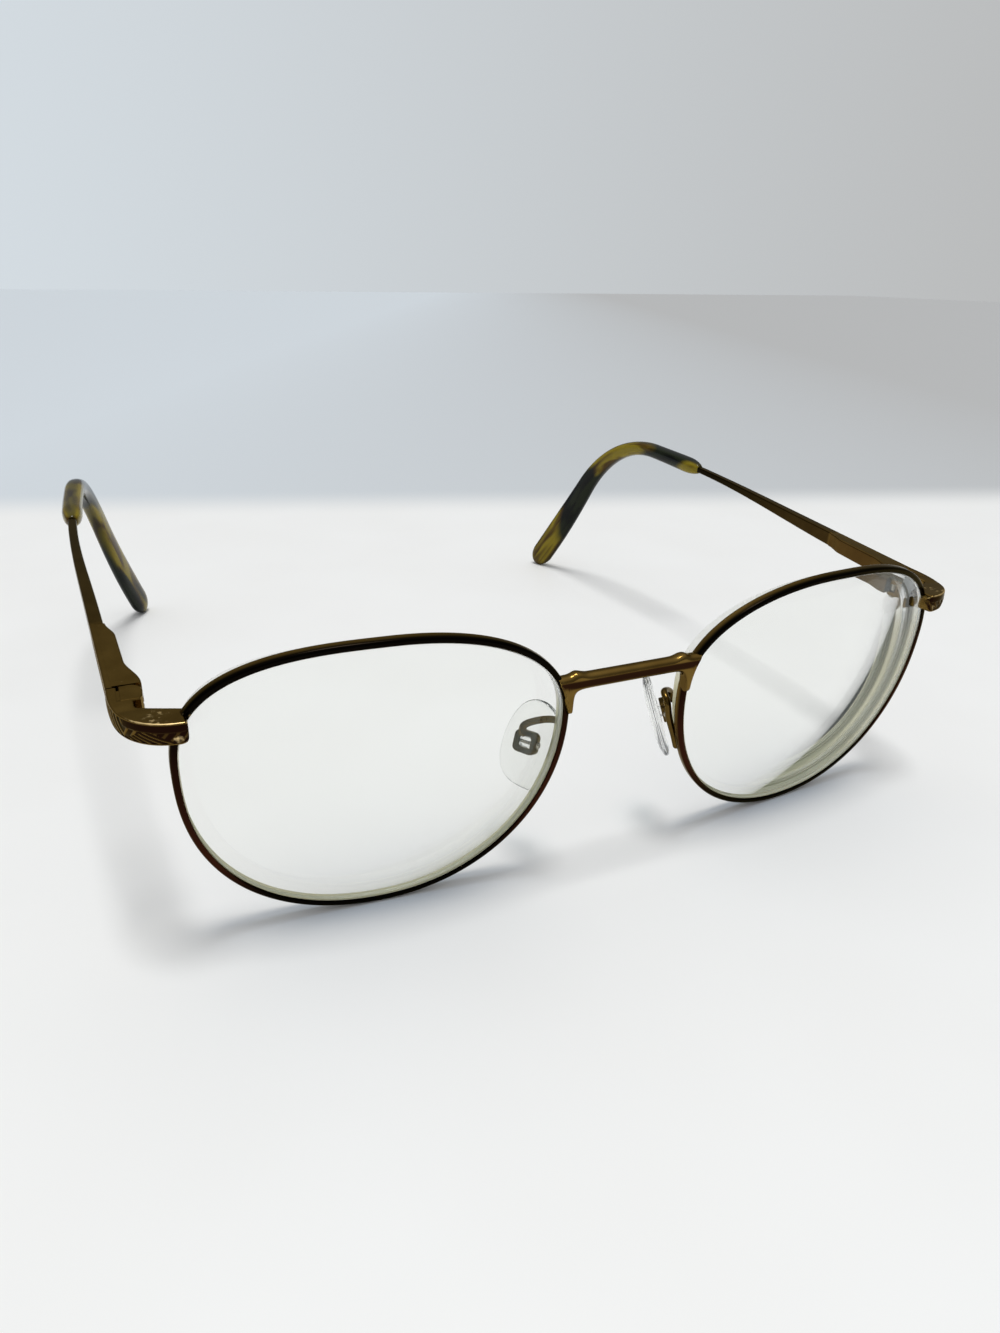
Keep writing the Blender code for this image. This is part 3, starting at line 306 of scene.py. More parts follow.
# The wire's own dark lacquer, and painted shade on its faces towards the head
wire_dark, wire_dark_more, wire_painted_shade_inside = 0.50, 0.20, 0.28
wire_dark_blur = 0.3 * MM
temple_rib_olive = 0.9
temple_rub = 0.12
temple_copper, temple_copper_end = 0.15, 0.8 * sleeve_start
tip_dark_edge, tip_dark_edge_from = 0.7, 0.72
tip_amber_gather = 0.28
box_marks = {"worn_and_painted_highlight": 0.15, "lacquer_and_painted_shade": 0.55}
pad_arm_marks = {"worn_and_painted_highlight": 0.18, "lacquer_and_painted_shade": 0.45}

# Points on a section's outer side, top, inner side, bottom and each corner
bridge_section = (9, 5, 9, 5, 10)
endpiece_section = (33, 9, 9, 9, 5)
braze_section = (3, 3, 3, 3, 2)
housing_section = (5, 9, 9, 9, 5)
temple_section = (25, 7, 5, 7, 5)
pad_lug_section = (4, 4, 4, 4, 5)
box_path_section = (9, 9, 9, 9, 7)
box_wall_section = (3, 5, 3, 5, 4)

opening_half_width = opening_width / 2
opening_half_height = (opening_top_rise + opening_bottom_drop) / 2
widest_line = opening_bottom_drop - opening_half_height
opening_centre_x = opening_spacing / 2 + opening_half_width
end_half_height = end_height / 2
rim_end_x = -(hinge_outside_rim + rim_wall + endpiece_lap)
rim_end_y = -(hinge_behind_rim + endpiece_proud)


def sag(u, v):
    """How far the lens front curves back: the square of the distance over twice its radius."""
    return (u * u + v * v) / (2 * lens_front_radius)


def oval(turn, power):
    """Across and up of a superellipse with half axes of 1, at these turns."""
    across, up = np.cos(turn), np.sin(turn)
    power = 2 / power
    return np.sign(across) * np.abs(across) ** power, np.sign(up) * np.abs(up) ** power


def full_turn(points):
    """This many angles, evenly round."""
    return np.linspace(0.0, 2 * math.pi, points, endpoint=False)


def length_along(x, y):
    """The distance along a line of points, at each of them."""
    return np.concatenate([[0.0], np.cumsum(np.hypot(np.diff(x), np.diff(y)))])


def lens_outline():
    """The opening's outline: four quarter superellipses that meet on its widest line."""
    turn = np.linspace(0.0, 2 * math.pi, outline_steps + 1)
    at_temple, above = np.cos(turn) >= 0, np.sin(turn) >= 0
    top_power = np.where(at_temple, top_temple_power, top_nose_power)
    bottom_power = np.where(at_temple, bottom_temple_power, bottom_nose_power)
    across, up = oval(turn, np.where(above, top_power, bottom_power))
    rise = np.where(above, opening_top_rise, opening_bottom_drop)
    return opening_half_width * across, widest_line + rise * up


outline_u, outline_v = lens_outline()
outline_length = length_along(outline_u, outline_v)


def outline_at(positions):
    """Points of the outline at these distances along it, and their outward normals."""
    step = 0.2 * MM

    def point(where):
        where = np.mod(where, outline_length[-1])
        u = np.interp(where, outline_length, outline_u)
        return np.stack([u, np.interp(where, outline_length, outline_v)], axis=-1)

    run = point(positions + step) - point(positions - step)
    normal = np.stack([run[:, 1], -run[:, 0]], axis=-1)
    return point(positions), normal / np.linalg.norm(normal, axis=1)[:, None]


def leaned(u, v, n):
    """How far outwards, back and up of its box centre a point of one lens lies."""
    out = u * math.cos(face_wrap)
    back = -v * math.sin(front_lean) + n * math.cos(front_lean) + u * math.sin(face_wrap)
    up = v * math.cos(front_lean) + n * math.sin(front_lean)
    return out, back, up


def rim_split():
    """Where the rim is split: the distance along the opening's outline, and u there."""
    quarter = slice(0, outline_steps // 4)
    heights = outline_v[quarter]
    along = np.interp(rim_split_rise, heights, outline_length[quarter])
    return along, np.interp(rim_split_rise, heights, outline_u[quarter])


def lowest_front_height():
    """Height of the rim's lowest point under the box centre, for the lean of the front."""
    back = sag(outline_u, outline_v)
    return leaned(outline_u, outline_v - rim_wall, back)[2].min()


front_centre_z = -lowest_front_height()
split_along, split_u = rim_split()
split_sag = sag(split_u, rim_split_rise)
corner_out, corner_back, corner_up = leaned(split_u + rim_wall, rim_split_rise, split_sag)
hinge_half_span = opening_centre_x + corner_out + hinge_outside_rim
bar_height = front_centre_z + corner_up - lock_socket_rise
hinge_height = bar_height + endpiece_level_from * math.sin(temple_rise)
hinge_back = corner_back + hinge_behind_rim


def smooth_step(value, low, high):
    """0 below low, 1 above high, and a smooth rise between."""
    share = np.clip((value - low) / (high - low), 0.0, 1.0)
    return share * share * (3 - 2 * share)


def between(low, high, share):
    """From low to high by this share."""
    return low + (high - low) * share


def drawn_in_at(distance, radius):
    """How far a rounded edge is drawn in at this distance from its end, by a quarter circle."""
    inside = np.maximum(radius - distance, 0.0)
    return radius - np.sqrt(radius**2 - inside**2)


def bell(distance, width):
    """1 at no distance, falling off as a bell curve of this width."""
    return np.exp(-((distance / width) ** 2))


def points_at(x, y, z):
    """Points from their three coordinates, which may be arrays of different shapes."""
    return np.stack(np.broadcast_arrays(x, y, z), axis=-1)


def temple_height(c):
    """Height of the metal temple: it tapers a little over the box, then to a thin wire."""
    share = smooth_step(c, temple_taper_start, sleeve_start)
    boxed = between(end_height, temple_height_housing, c / temple_taper_start)
    wire = between(temple_height_housing, temple_height_tip, share**temple_taper_power)
    return np.where(c < temple_taper_start, boxed, wire)


def outer_face(c):
    """Offset of the temple's outer face from the hinge axis: a straight line that splays."""
    return outer_face_start + temple_splay * c


def tip_lean_in(c):
    """How far the tip leans towards the head: a power of the distance behind its start."""
    share = np.maximum((c - tip_lean_start) / tip_lean_length, 0.0)
    return tip_lean * share**tip_lean_power


tip_line_height = end_half_height + temple_top_rise * sleeve_start - temple_height_tip / 2
bend_end = bend_start + bend_radius * bend_angle
leg_slope = bend_angle - temple_rise
cap_drop = math.hypot(
    tip_cap_length * math.sin(leg_slope), tip_height_end / 2 * math.cos(leg_slope)
)
cap_reach = math.hypot(
    tip_cap_length * math.cos(leg_slope), tip_height_end / 2 * math.sin(leg_slope)
)


def path_point(c):
    """The temple's line: straight, then an arc, then a straight leg; and its heading down."""
    heading = np.clip((c - bend_start) / bend_radius, 0.0, bend_angle)
    leg = np.maximum(c - bend_end, 0.0)
    straight = np.minimum(c, bend_start)
    s = straight + bend_radius * np.sin(heading) + leg * np.cos(bend_angle)
    t = tip_line_height - bend_radius * (1 - np.cos(heading)) - leg * np.sin(bend_angle)
    return s, t, heading


def leg_length():
    """Length of the straight leg after the bend that lets the tip's end touch the table."""
    s, t, _ = path_point(np.array([bend_end]))
    height = hinge_height + s[0] * math.sin(temple_rise) + t[0] * math.cos(temple_rise)
    return (height - cap_drop) / math.sin(leg_slope)


path_end = bend_end + leg_length()


def depth_behind_front():
    """How far back of the lens vertex the front of the rims and the end of the tips lie."""
    back = sag(outline_u, outline_v)
    foremost = leaned(outline_u, outline_v + rim_wall, back)[1].min()
    s, t, _ = path_point(np.array([path_end]))
    along = s[0] * math.cos(temple_rise) - t[0] * math.sin(temple_rise)
    return foremost, hinge_back + along + cap_reach


front_centre_y = -sum(depth_behind_front()) / 2
hinge_y = front_centre_y + hinge_back
pad_y = front_centre_y + pad_behind_rims


def front_point(side, u, v, n):
    """The place of a point of one lens: u towards the temple, v up, n back from its vertex."""
    out, back, up = leaned(u, v, n)
    x = side * (opening_centre_x + out)
    return points_at(x, front_centre_y + back, front_centre_z + up)


def hinge_point(side, x, s, t):
    """The place of a point of one hinge: x outwards, s back along the temple, t up its axis."""
    y = hinge_y + s * math.cos(temple_rise) - t * math.sin(temple_rise)
    z = hinge_height + s * math.sin(temple_rise) + t * math.cos(temple_rise)
    return points_at(side * (hinge_half_span + x), y, z)


def pad_point(side, along, up, out):
    """The place of a point of one nose pad: along it front to back, up it, and to the nose."""
    flat = out * math.cos(pad_tilt) + up * math.sin(pad_tilt)
    x = pad_half_span + along * math.sin(pad_splay) - flat * math.cos(pad_splay)
    y = pad_y + along * math.cos(pad_splay) + flat * math.sin(pad_splay)
    z = front_centre_z - pad_drop + up * math.cos(pad_tilt) - out * math.sin(pad_tilt)
    return points_at(side * x, y, z)


def nose_edge(rise):
    """The opening's edge at the nose, this far above the middle of the lens."""
    nose = slice(outline_steps // 4, 3 * outline_steps // 4)
    u, v = outline_u[nose], outline_v[nose]
    height = leaned(u, v, sag(u, v))[2]
    order = np.argsort(height)
    return tuple(np.interp(rise, height[order], edge[order]) for edge in (u, v))


# ---- Finishes -------------------------------------------------------------------------------


def hex_colour(code):
    """An sRGB hex colour as the linear numbers that the shader takes."""
    shares = [int(code[k : k + 2], 16) / 255 for k in (1, 3, 5)]
    linear = [s / 12.92 if s <= 0.04045 else ((s + 0.055) / 1.055) ** 2.4 for s in shares]
    return (*linear, 1.0)


def add_node(tree, kind, sockets=None, **settings):
    """Adds a node; a socket gets a number, a hex colour, or a link from another's output."""
    node = tree.nodes.new(kind)
    for key, value in settings.items():
        setattr(node, key, value)
    for key, value in (sockets or {}).items():
        if isinstance(value, bpy.types.NodeSocket):
            tree.links.new(value, node.inputs[key])
        else:
            value = hex_colour(value) if isinstance(value, str) else value
            node.inputs[key].default_value = value
    return node


def blend(tree, share, low, high):
    """A colour that goes from low to high with the share; each is a hex colour or an output."""
    sockets = {0: share, 6: low, 7: high}
    return add_node(tree, "ShaderNodeMix", sockets, data_type="RGBA").outputs[2]


def map_to(tree, value, low, high):
    """The value's run from 0 to 1, laid over low to high."""
    sockets = {"Value": value, "To Min": low, "To Max": high}
    return add_node(tree, "ShaderNodeMapRange", sockets).outputs["Result"]


def map_from(tree, value, low, high, **settings):
    """0 below low and 1 above high, in a straight line between unless the settings say so."""
    sockets = {"Value": value, "From Min": low, "From Max": high}
    return add_node(tree, "ShaderNodeMapRange", sockets, **settings).outputs["Result"]


def rise_from(tree, value, low, high):
    """0 below low, 1 above high, and a smooth rise between."""
    return map_from(tree, value, low, high, interpolation_type="SMOOTHSTEP")


def work_out(tree, operation, *values):
    """The result of a sum with numbers or outputs."""
    sockets = dict(enumerate(values))
    return add_node(tree, "ShaderNodeMath", sockets, operation=operation).outputs[0]


def reach_along(tree, place, way):
    """How far the place lies along the way."""
    product = add_node(
        tree, "ShaderNodeVectorMath", {0: place, 1: way}, operation="DOT_PRODUCT"
    )
    return product.outputs["Value"]


def noise(tree, place, scale, detail, distortion=0.0):
    """Cloudy noise with this many clouds to the metre."""
    sockets = {"Vector": place, "Scale": scale, "Detail": detail, "Distortion": distortion}
    return add_node(tree, "ShaderNodeTexNoise", sockets).outputs["Fac"]


def mark_of(tree, name):
    """What the skin's mark of this name says at a point."""
    return add_node(tree, "ShaderNodeAttribute", attribute_name=name).outputs["Fac"]


def object_place(tree):
    """A point's place in its piece, in metres."""
    return add_node(tree, "ShaderNodeTexCoord").outputs["Object"]


def new_finish(name, **sockets):
    """A material with its tree and its shader, whose sockets are set as given."""
    material = bpy.data.materials.new(name)
    material.use_nodes = True
    shader = material.node_tree.nodes["Principled BSDF"]
    for key, value in sockets.items():
        shader.inputs[key.replace("_", " ")].default_value = value
    return material, material.node_tree, shader


def link_to(tree, shader, **outputs):
    """Links outputs to the shader's sockets of these names."""
    for key, output in outputs.items():
        tree.links.new(output, shader.inputs[key.replace("_", " ")])


def antique_bronze():
    """Bronze plating, antiqued with a dark lacquer and worn back on the edges.

    To the eye: a satin olive-brown metal, nearly black where the lacquer is left and where
    shade is painted, with warm gold on rubbed edges, in specks and in painted highlights.
    "lacquer_and_painted_shade" marks the dark faces, real lacquer and painted shade alike,
    "copper" where they are reddish, and "worn_and_painted_highlight" the rubbed edges and the
    painted highlights.
    """
    material, tree, shader = new_finish(
        "antique_bronze_plating", Metallic=1.0, Specular_Tint=hex_colour("#D6D0C2")
    )
    coords = object_place(tree)
    # Clouding of the plating, about 3 mm across
    clouds = noise(tree, coords, 330.0, 3.0)
    # Rubbed specks, 0.6 mm across
    specks = noise(tree, coords, 1700.0, 3.0)
    plated = blend(tree, clouds, "#5C451C", "#846A36")
    # The dark tone colours both the real lacquer and the painted shade
    dark = blend(tree, mark_of(tree, "copper"), "#0C0906", "#34190F")
    toned = blend(tree, mark_of(tree, "lacquer_and_painted_shade"), plated, dark)
    # Specks appear where the metal is rubbed and where highlights are painted; both merge to bare
    # gold at their strongest
    rub_and_highlight = work_out(tree, "ADD", specks, mark_of(tree, "worn_and_painted_highlight"))
    bare_and_highlight = rise_from(tree, rub_and_highlight, 0.86, 1.22)
    colour = blend(tree, bare_and_highlight, toned, "#DCC18A")
    # Bare spots are scuffed, so they catch the light from overhead
    polish = map_to(tree, clouds, 0.12, 0.26)
    roughness = work_out(tree, "MULTIPLY_ADD", bare_and_highlight, 0.30, polish)
    # The satin grain is a few microns; it is drawn 0.12 mm wide so that it shows
    grain = noise(tree, coords, 8000.0, 2.0)
    bump = add_node(
        tree, "ShaderNodeBump", {"Height": grain, "Strength": 0.08, "Distance": 0.02 * MM}
    ).outputs["Normal"]
    link_to(tree, shader, Base_Color=colour, Roughness=roughness, Normal=bump)
    return material


def turned_steel():
    """Nickel-plated turned steel: pale warm grey, with fine tool marks and a faint stain."""
    material, tree, shader = new_finish("nickel_plated_turned_steel", Metallic=1.0)
    coords = object_place(tree)
    # Staining about 1 mm across, and tool marks 0.15 mm apart
    colour = blend(tree, noise(tree, coords, 900.0, 3.0), "#8F887B", "#CFC9BC")
    roughness = map_to(tree, noise(tree, coords, 6500.0, 1.0), 0.18, 0.38)
    link_to(tree, shader, Base_Color=colour, Roughness=roughness)
    return material


def let_light_through(tree, shader, shade):
    """Light passes the piece, dimmed to its shade: only what the eye sees meets the shader."""
    path = add_node(tree, "ShaderNodeLightPath")
    clear = add_node(tree, "ShaderNodeBsdfTransparent", {"Color": shade}).outputs["BSDF"]
    mixed = shader.outputs["BSDF"]
    for ray in ("Is Diffuse Ray", "Is Shadow Ray"):
        sockets = {0: path.outputs[ray], 1: mixed, 2: clear}
        mixed = add_node(tree, "ShaderNodeMixShader", sockets).outputs["Shader"]
    tree.links.new(mixed, tree.nodes["Material Output"].inputs["Surface"])


def lens_resin():
    """Cast lens resin: clear, polished and coated, with a ground edge that is cream and frosted.

    The coating's tint on the reflections keeps them faint, so what lies behind stays dark. The
    mark "ground" is 1 on the edge wall and its bevel, and "pale" where the sky lights it.
    """
    material, tree, shader = new_finish(
        "polished_cast_lens_resin", IOR=1.56, Specular_Tint=hex_colour("#7F9A8A")
    )
    ground, pale = mark_of(tree, "ground"), mark_of(tree, "pale")
    # Grinding marks along the edge, 0.2 mm apart
    marks = noise(tree, object_place(tree), 5000.0, 2.0)
    frosted = blend(tree, pale, blend(tree, marks, "#D8CC84", "#F4EDC6"), "#FAFAF6")
    colour = blend(tree, ground, "#FDFEFC", frosted)
    roughness = map_to(tree, ground, 0.0, 0.45)
    # Where the sky lights the ground edge, it lets the table show and hardly stands out
    frosting = map_to(tree, pale, 0.35, 0.96)
    see_through = add_node(
        tree, "ShaderNodeMix", {0: ground, 2: 1.0, 3: frosting}, data_type="FLOAT"
    ).outputs[0]
    link_to(
        tree, shader, Base_Color=colour, Roughness=roughness, Transmission_Weight=see_through
    )
    let_light_through(tree, shader, "#B9C1CA")
    return material


def clear_silicone():
    """Moulded clear silicone: soft sheen, faintly milky, with hand marks in its gloss."""
    material, tree, shader = new_finish(
        "moulded_clear_silicone", IOR=1.38, Transmission_Weight=0.98
    )
    # Milky clouding, about 2 mm across
    haze = noise(tree, object_place(tree), 500.0, 2.0)
    colour = blend(tree, haze, "#F8F9F6", "#FEFEFD")
    link_to(tree, shader, Base_Color=colour, Roughness=map_to(tree, haze, 0.02, 0.08))
    let_light_through(tree, shader, "#F0F3F4")
    return material


def tortoise_acetate():
    """Polished cellulose acetate: olive and honey patches in near-black green, under a gloss.

    The block's layers run along the tip. The marks "along", "round" and "across" give a
    point's place in the bent block, in metres, and "edge" is 1 on the narrow sides, where one
    looks through more of the dark. "band" makes the amber gather at even distances.
    """
    material, tree, shader = new_finish(
        "polished_tortoise_acetate", IOR=1.48, Specular_IOR_Level=0.15
    )
    marks = [mark_of(tree, mark) for mark in ("along", "round", "across")]
    block_place = add_node(tree, "ShaderNodeCombineXYZ", dict(enumerate(marks))).outputs["Vector"]
    layered = add_node(
        tree, "ShaderNodeMapping", {"Vector": block_place, "Scale": (0.21, 1.0, 1.0)}
    ).outputs["Vector"]
    # Patches 5 mm wide and 24 mm long, with streaks 2 mm wide inside them
    patches = noise(tree, layered, 190.0, 1.0, distortion=0.4)
    streaks = noise(tree, layered, 480.0, 1.5, distortion=0.6)
    gathered = work_out(tree, "ADD", patches, mark_of(tree, "band"))
    honey = rise_from(tree, streaks, 0.36, 0.62)
    amber = blend(tree, honey, "#4A3507", "#8A791C")
    dark = blend(tree, honey, "#050704", "#1C2212")
    body = blend(tree, rise_from(tree, gathered, 0.42, 0.58), dark, amber)
    colour = blend(tree, mark_of(tree, "edge"), body, "#10160D")
    link_to(tree, shader, Base_Color=colour, Roughness=map_to(tree, streaks, 0.08, 0.16))
    return material


# ---- Skins ----------------------------------------------------------------------------------


def add_skin(name, grid, finish, body, stands_for=(), marks=None, loop=False):
    """A closed skin over rings of points; its end rings close on their middles, or on each other.

    Each mark is a number for every point of the grid, which the finish reads.
    """
    rings, points = grid.shape[:2]
    index = np.arange(rings * points).reshape(rings, points)
    low = index if loop else index[:-1]
    high = np.roll(index, -1, axis=0) if loop else index[1:]
    quads = np.stack([low, np.roll(low, -1, axis=1), np.roll(high, -1, axis=1), high], axis=-1)
    faces = quads.reshape(-1, 4).tolist()
    verts = grid.reshape(-1, 3)
    if not loop:
        verts = np.vstack([verts, grid[0].mean(axis=0), grid[-1].mean(axis=0)])
        first, last = np.full(points, rings * points), np.full(points, rings * points + 1)
        faces += np.stack([np.roll(index[0], -1), index[0], first], axis=-1).tolist()
        faces += np.stack([index[-1], np.roll(index[-1], -1), last], axis=-1).tolist()
    mesh = bpy.data.meshes.new(name)
    mesh.from_pydata(verts.tolist(), [], faces)
    for mark, values in (marks or {}).items():
        values = np.broadcast_to(values, (rings, points))
        ends = [] if loop else [values[0].mean(), values[-1].mean()]
        layer = mesh.attributes.new(mark, "FLOAT", "POINT")
        layer.data.foreach_set("value", np.concatenate([values.ravel(), ends]))
    work = bmesh.new()
    work.from_mesh(mesh)
    bmesh.ops.recalc_face_normals(work, faces=work.faces)
    work.to_mesh(mesh)
    work.free()
    mesh.shade_smooth()
    mesh.set_sharp_from_angle(angle=crease_angle)
    mesh.materials.append(finish)
    piece = bpy.data.objects.new(name, mesh)
    bpy.context.collection.objects.link(piece)
    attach(piece, body)
    if stands_for:
        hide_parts(*stands_for)
    return piece


def section(outer, top, inner, bottom, corner):
    """The points round a bar's section, as shares of its sides and of its corner circles.

    The first two columns say where the corner's centre is, the last two where the point lies
    on that corner's circle; a side's points slide from one corner's centre to the next.
    """
    turn = np.linspace(0.0, math.pi / 2, corner + 2)[1:-1]
    rows = []
    for k, count in enumerate((outer, top, inner, bottom)):
        out_x, out_y = round(math.cos(k * math.pi / 2)), round(math.sin(k * math.pi / 2))
        slide = np.linspace(-1.0, 1.0, count)
        angle = turn + k * math.pi / 2
        flat = np.ones(count)
        bent = np.ones(corner)
        rows.append([out_x - out_y * slide, out_y + out_x * slide, out_x * flat, out_y * flat])
        corner_x, corner_y = (out_x - out_y) * bent, (out_y + out_x) * bent
        rows.append([corner_x, corner_y, np.cos(angle), np.sin(angle)])
    return np.hstack([np.stack(row) for row in rows]).T


def spread(shape, half_width, half_height, radius):
    """Points (across, up) of sections with these sizes, which may change along the piece."""
    sizes = [np.reshape(np.asarray(size, float), (-1, 1)) for size in (half_width, half_height)]
    radius = np.reshape(np.asarray(radius, float), (-1, 1))
    across = shape[:, 0] * (sizes[0] - radius) + shape[:, 2] * radius
    up = shape[:, 1] * (sizes[1] - radius) + shape[:, 3] * radius
    return across, up


def faces_in(shape):
    """How far a section's points face the head."""
    return smooth_step(-shape[:, 2], *inside_turn)


def faces_up(shape):
    """Which of a section's points face up."""
    return shape[:, 3] > top_turn


def wire_rings(route, radius):
    """Circles round a route, set square to it, all measured from the route's own plane."""
    run = np.gradient(route, axis=0)
    run = run / np.linalg.norm(run, axis=1)[:, None]
    plane_normal = np.linalg.svd(run)[2][-1]
    side = np.cross(run, plane_normal)
    side = side / np.linalg.norm(side, axis=1)[:, None]
    other = np.cross(run, side)
    turn = full_turn(wire_points)[None, :, None]
    circle = np.cos(turn) * side[:, None] + np.sin(turn) * other[:, None]
    return route[:, None] + np.reshape(radius, (-1, 1, 1)) * circle


def smooth_route(points, steps):
    """A Catmull-Rom curve through the points, with this many steps between neighbours."""
    points = np.asarray(points, float)
    padded = np.vstack([2 * points[0] - points[1], points, 2 * points[-1] - points[-2]])
    a, b, c, d = (padded[k : len(points) - 1 + k, None] for k in range(4))
    share = np.linspace(0.0, 1.0, steps, endpoint=False)[None, :, None]
    curve = b + (c - a) * share / 2 + (2 * a - 5 * b + 4 * c - d) * share**2 / 2
    curve = curve + (3 * b - a - 3 * c + d) * share**3 / 2
    return np.vstack([curve.reshape(-1, 3), points[-1]])


# ---- Front ----------------------------------------------------------------------------------


def rim_profile():
    """The wire's section: rounded outside, square at the lens, with a V groove between lips.

    Returns how far each point stands out from the lens and behind the front lip.
    """
    turn = np.linspace(0.0, math.pi / 2, corner_points)
    front_x = rim_wall - rim_round + rim_round * np.sin(turn)
    front_y = rim_round - rim_round * np.cos(turn)
    back_x, back_y = front_x[::-1], rim_depth - front_y[::-1]
    lip = rim_lip_round
    middle = rim_depth / 2
    inner_x = [lip, 0.0, 0.0, groove_depth, 0.0, 0.0, lip]
    inner_y = [
        rim_depth,
        rim_depth - lip,
        middle + groove_half_width,
        middle,
        middle - groove_half_width,
        lip,
        0.0,
    ]
    out = np.concatenate([front_x, back_x, inner_x])
    return out, np.concatenate([front_y, back_y, inner_y])


def make_rim(side, hand, finish):
    """The rim: its section carried round the lens opening, open at the rim lock.

    The front of the wire is painted dark, a painted shade for the dark room that it
    reflects, reddish towards the temple, and its lower part gets painted shade too; its outer
    side is bronze.
    """
    start = split_along + rim_split_gap / 2
    stop = split_along + outline_length[-1] - rim_split_gap / 2
    lips, normals = outline_at(np.linspace(start, stop, rim_sections))
    out, depth = rim_profile()
    place = lips[:, None] + out[:, None] * normals[:, None]
    back = sag(lips[:, 0], lips[:, 1])[:, None] + depth
    grid = front_point(side, place[..., 0], place[..., 1], back)
    # Painted shade: the wire's front is darkened where it would reflect the dark room
    painted_front_shade = 1 - smooth_step(depth / rim_depth, *rim_painted_front_shade)
    downward = -normals[:, 1, None]
    # Painted shade on the rim's lower part, where the wire faces down
    lowness = smooth_step(downward, *rim_side_turn)
    lacquer_and_painted_shade = np.maximum(painted_front_shade, rim_painted_side_shade * lowness)
    # The outer edge at the temple side is handled most, where the endpiece is brazed on
    from_split = np.linalg.norm(lips - lips[0], axis=1)[:, None]
    worn_and_painted_highlight = rim_worn_most * bell(from_split, rim_worn_length)
    # The painted shade is reddish down the temple side and black again underneath
    copper = lowness * (1 - smooth_step(downward, *rim_below_turn))
    marks = {"lacquer_and_painted_shade": lacquer_and_painted_shade, "copper": copper, "worn_and_painted_highlight": worn_and_painted_highlight}
    add_skin("fine_rim_" + hand, grid, finish, "front", ["rim_" + hand], marks)


def make_lens(side, hand, finish):
    """The lens: its outline shrunk towards the vertex in rings, over two curved faces."""
    along = np.linspace(0.0, outline_length[-1], lens_points, endpoint=False)
    lips, normals = outline_at(along)
    edge = lips - lens_play * normals
    peak = edge + lens_bevel_height * normals
    inner = edge - lens_chamfer * normals
    bevel = sag(lips[:, 0], lips[:, 1]) + rim_depth / 2

    def front_of(place):
        return lens_inset + sag(place[:, 0], place[:, 1])

    def back_of(place):
        square = place[:, 0] ** 2 + place[:, 1] ** 2
        return lens_inset + lens_centre_thickness + square / (2 * lens_back_radius)

    shares = np.sin(np.linspace(lens_first_turn, math.pi / 2, lens_layers))[:-1]
    shares = np.append(shares, lens_last_share)
    front = [(edge * share, front_of(edge * share)) for share in shares]
    wall = [
        (edge, front_of(edge)),
        (edge, bevel - lens_bevel_half_width),
        (peak, bevel),
        (edge, bevel + lens_bevel_half_width),
        (edge, back_of(edge) - lens_chamfer),
        (inner, back_of(inner)),
    ]
    back = [(inner * share, back_of(inner * share)) for share in shares[::-1]]
    layers = front + wall + back
    grid = np.stack([front_point(side, place[:, 0], place[:, 1], n) for place, n in layers])
    ground = np.repeat([0.0, 1.0, 0.0], [len(front), len(wall), len(back)])[:, None]
    marks = {"ground": ground, "pale": smooth_step(normals[:, 1], *lens_lit_turn)}
    add_skin("fine_lens_" + hand, grid, finish, "front", ["lens_" + hand], marks)


def make_bridge(finish):
    """The bridge: a rounded bar with raised shoulders, whose ends sweep down along both rims.

    The shoulder is a bell curve, and the sweep below the bar fades with the distance from the
    rim as an exponential.
    """
    lip_u, lip_v = nose_edge(bridge_rise)
    lip = front_point(1, lip_u, lip_v, sag(lip_u, lip_v))
    share = np.sin(np.linspace(-math.pi / 2, math.pi / 2, bridge_sections))
    x = np.abs(share) * lip[0]
    from_foot = np.maximum(lip[0] - x - bridge_fillet_foot, 0.0)
    shoulder = bell(x - bridge_shoulder_place, bridge_shoulder_half_width)
    top = bridge_height / 2 + bridge_shoulder * shoulder
    bottom = -bridge_height / 2 - bridge_fillet * np.exp(-from_foot / bridge_fillet_spread)
    shape = section(*bridge_section)
    across, up = spread(
        shape, bridge_depth / 2, (top - bottom) / 2, bridge_rounding * bridge_depth
    )
    rise = bridge_rise + (top + bottom)[:, None] / 2 + up
    edge_u, edge_v = nose_edge(rise)
    edge = front_point(1, edge_u, edge_v, sag(edge_u, edge_v))
    reach = edge[..., 0] - rim_reach_share * rim_wall
    y = lip[1] - bridge_proud + bridge_depth / 2 - across
    grid = points_at(share[:, None] * reach, y, front_centre_z + rise)
    # Painted reflection and shade: a dark band along the front, where the bar would reflect the
    # dark room, and thinner painted shade under the bar
    level = (rise - bridge_rise) / (bridge_height / 2)
    band = 1 - smooth_step(level, *bridge_painted_band_top)
    band = band * smooth_step(level, *bridge_painted_band_bottom)
    under = bridge_painted_shade_below * smooth_step(-shape[:, 3], *bridge_below_turn)
    on_front = shape[:, 2] > bridge_front_turn
    lacquer_and_painted_shade = np.maximum(bridge_painted_band_most * band * on_front, under)
    # Painted highlights: gold on the upward faces at the bar's ends by the rims
    at_rim = smooth_step(x, lip[0] - bridge_highlight_length, lip[0])[:, None]
    worn_and_painted_highlight = bridge_highlight_most * at_rim * faces_up(shape)
    marks = {"lacquer_and_painted_shade": lacquer_and_painted_shade, "worn_and_painted_highlight": worn_and_painted_highlight, "copper": bridge_copper}
    add_skin("fine_bridge", grid, finish, "front", ["bridge"], marks)


# ---- Endpieces and temples ------------------------------------------------------------------


def ridge(phase):
    """1 on a land and 0 in a groove, with one groove for every whole number of the phase."""
    return smooth_step(np.abs(np.mod(phase, 1.0) - 0.5), *ridge_flank)


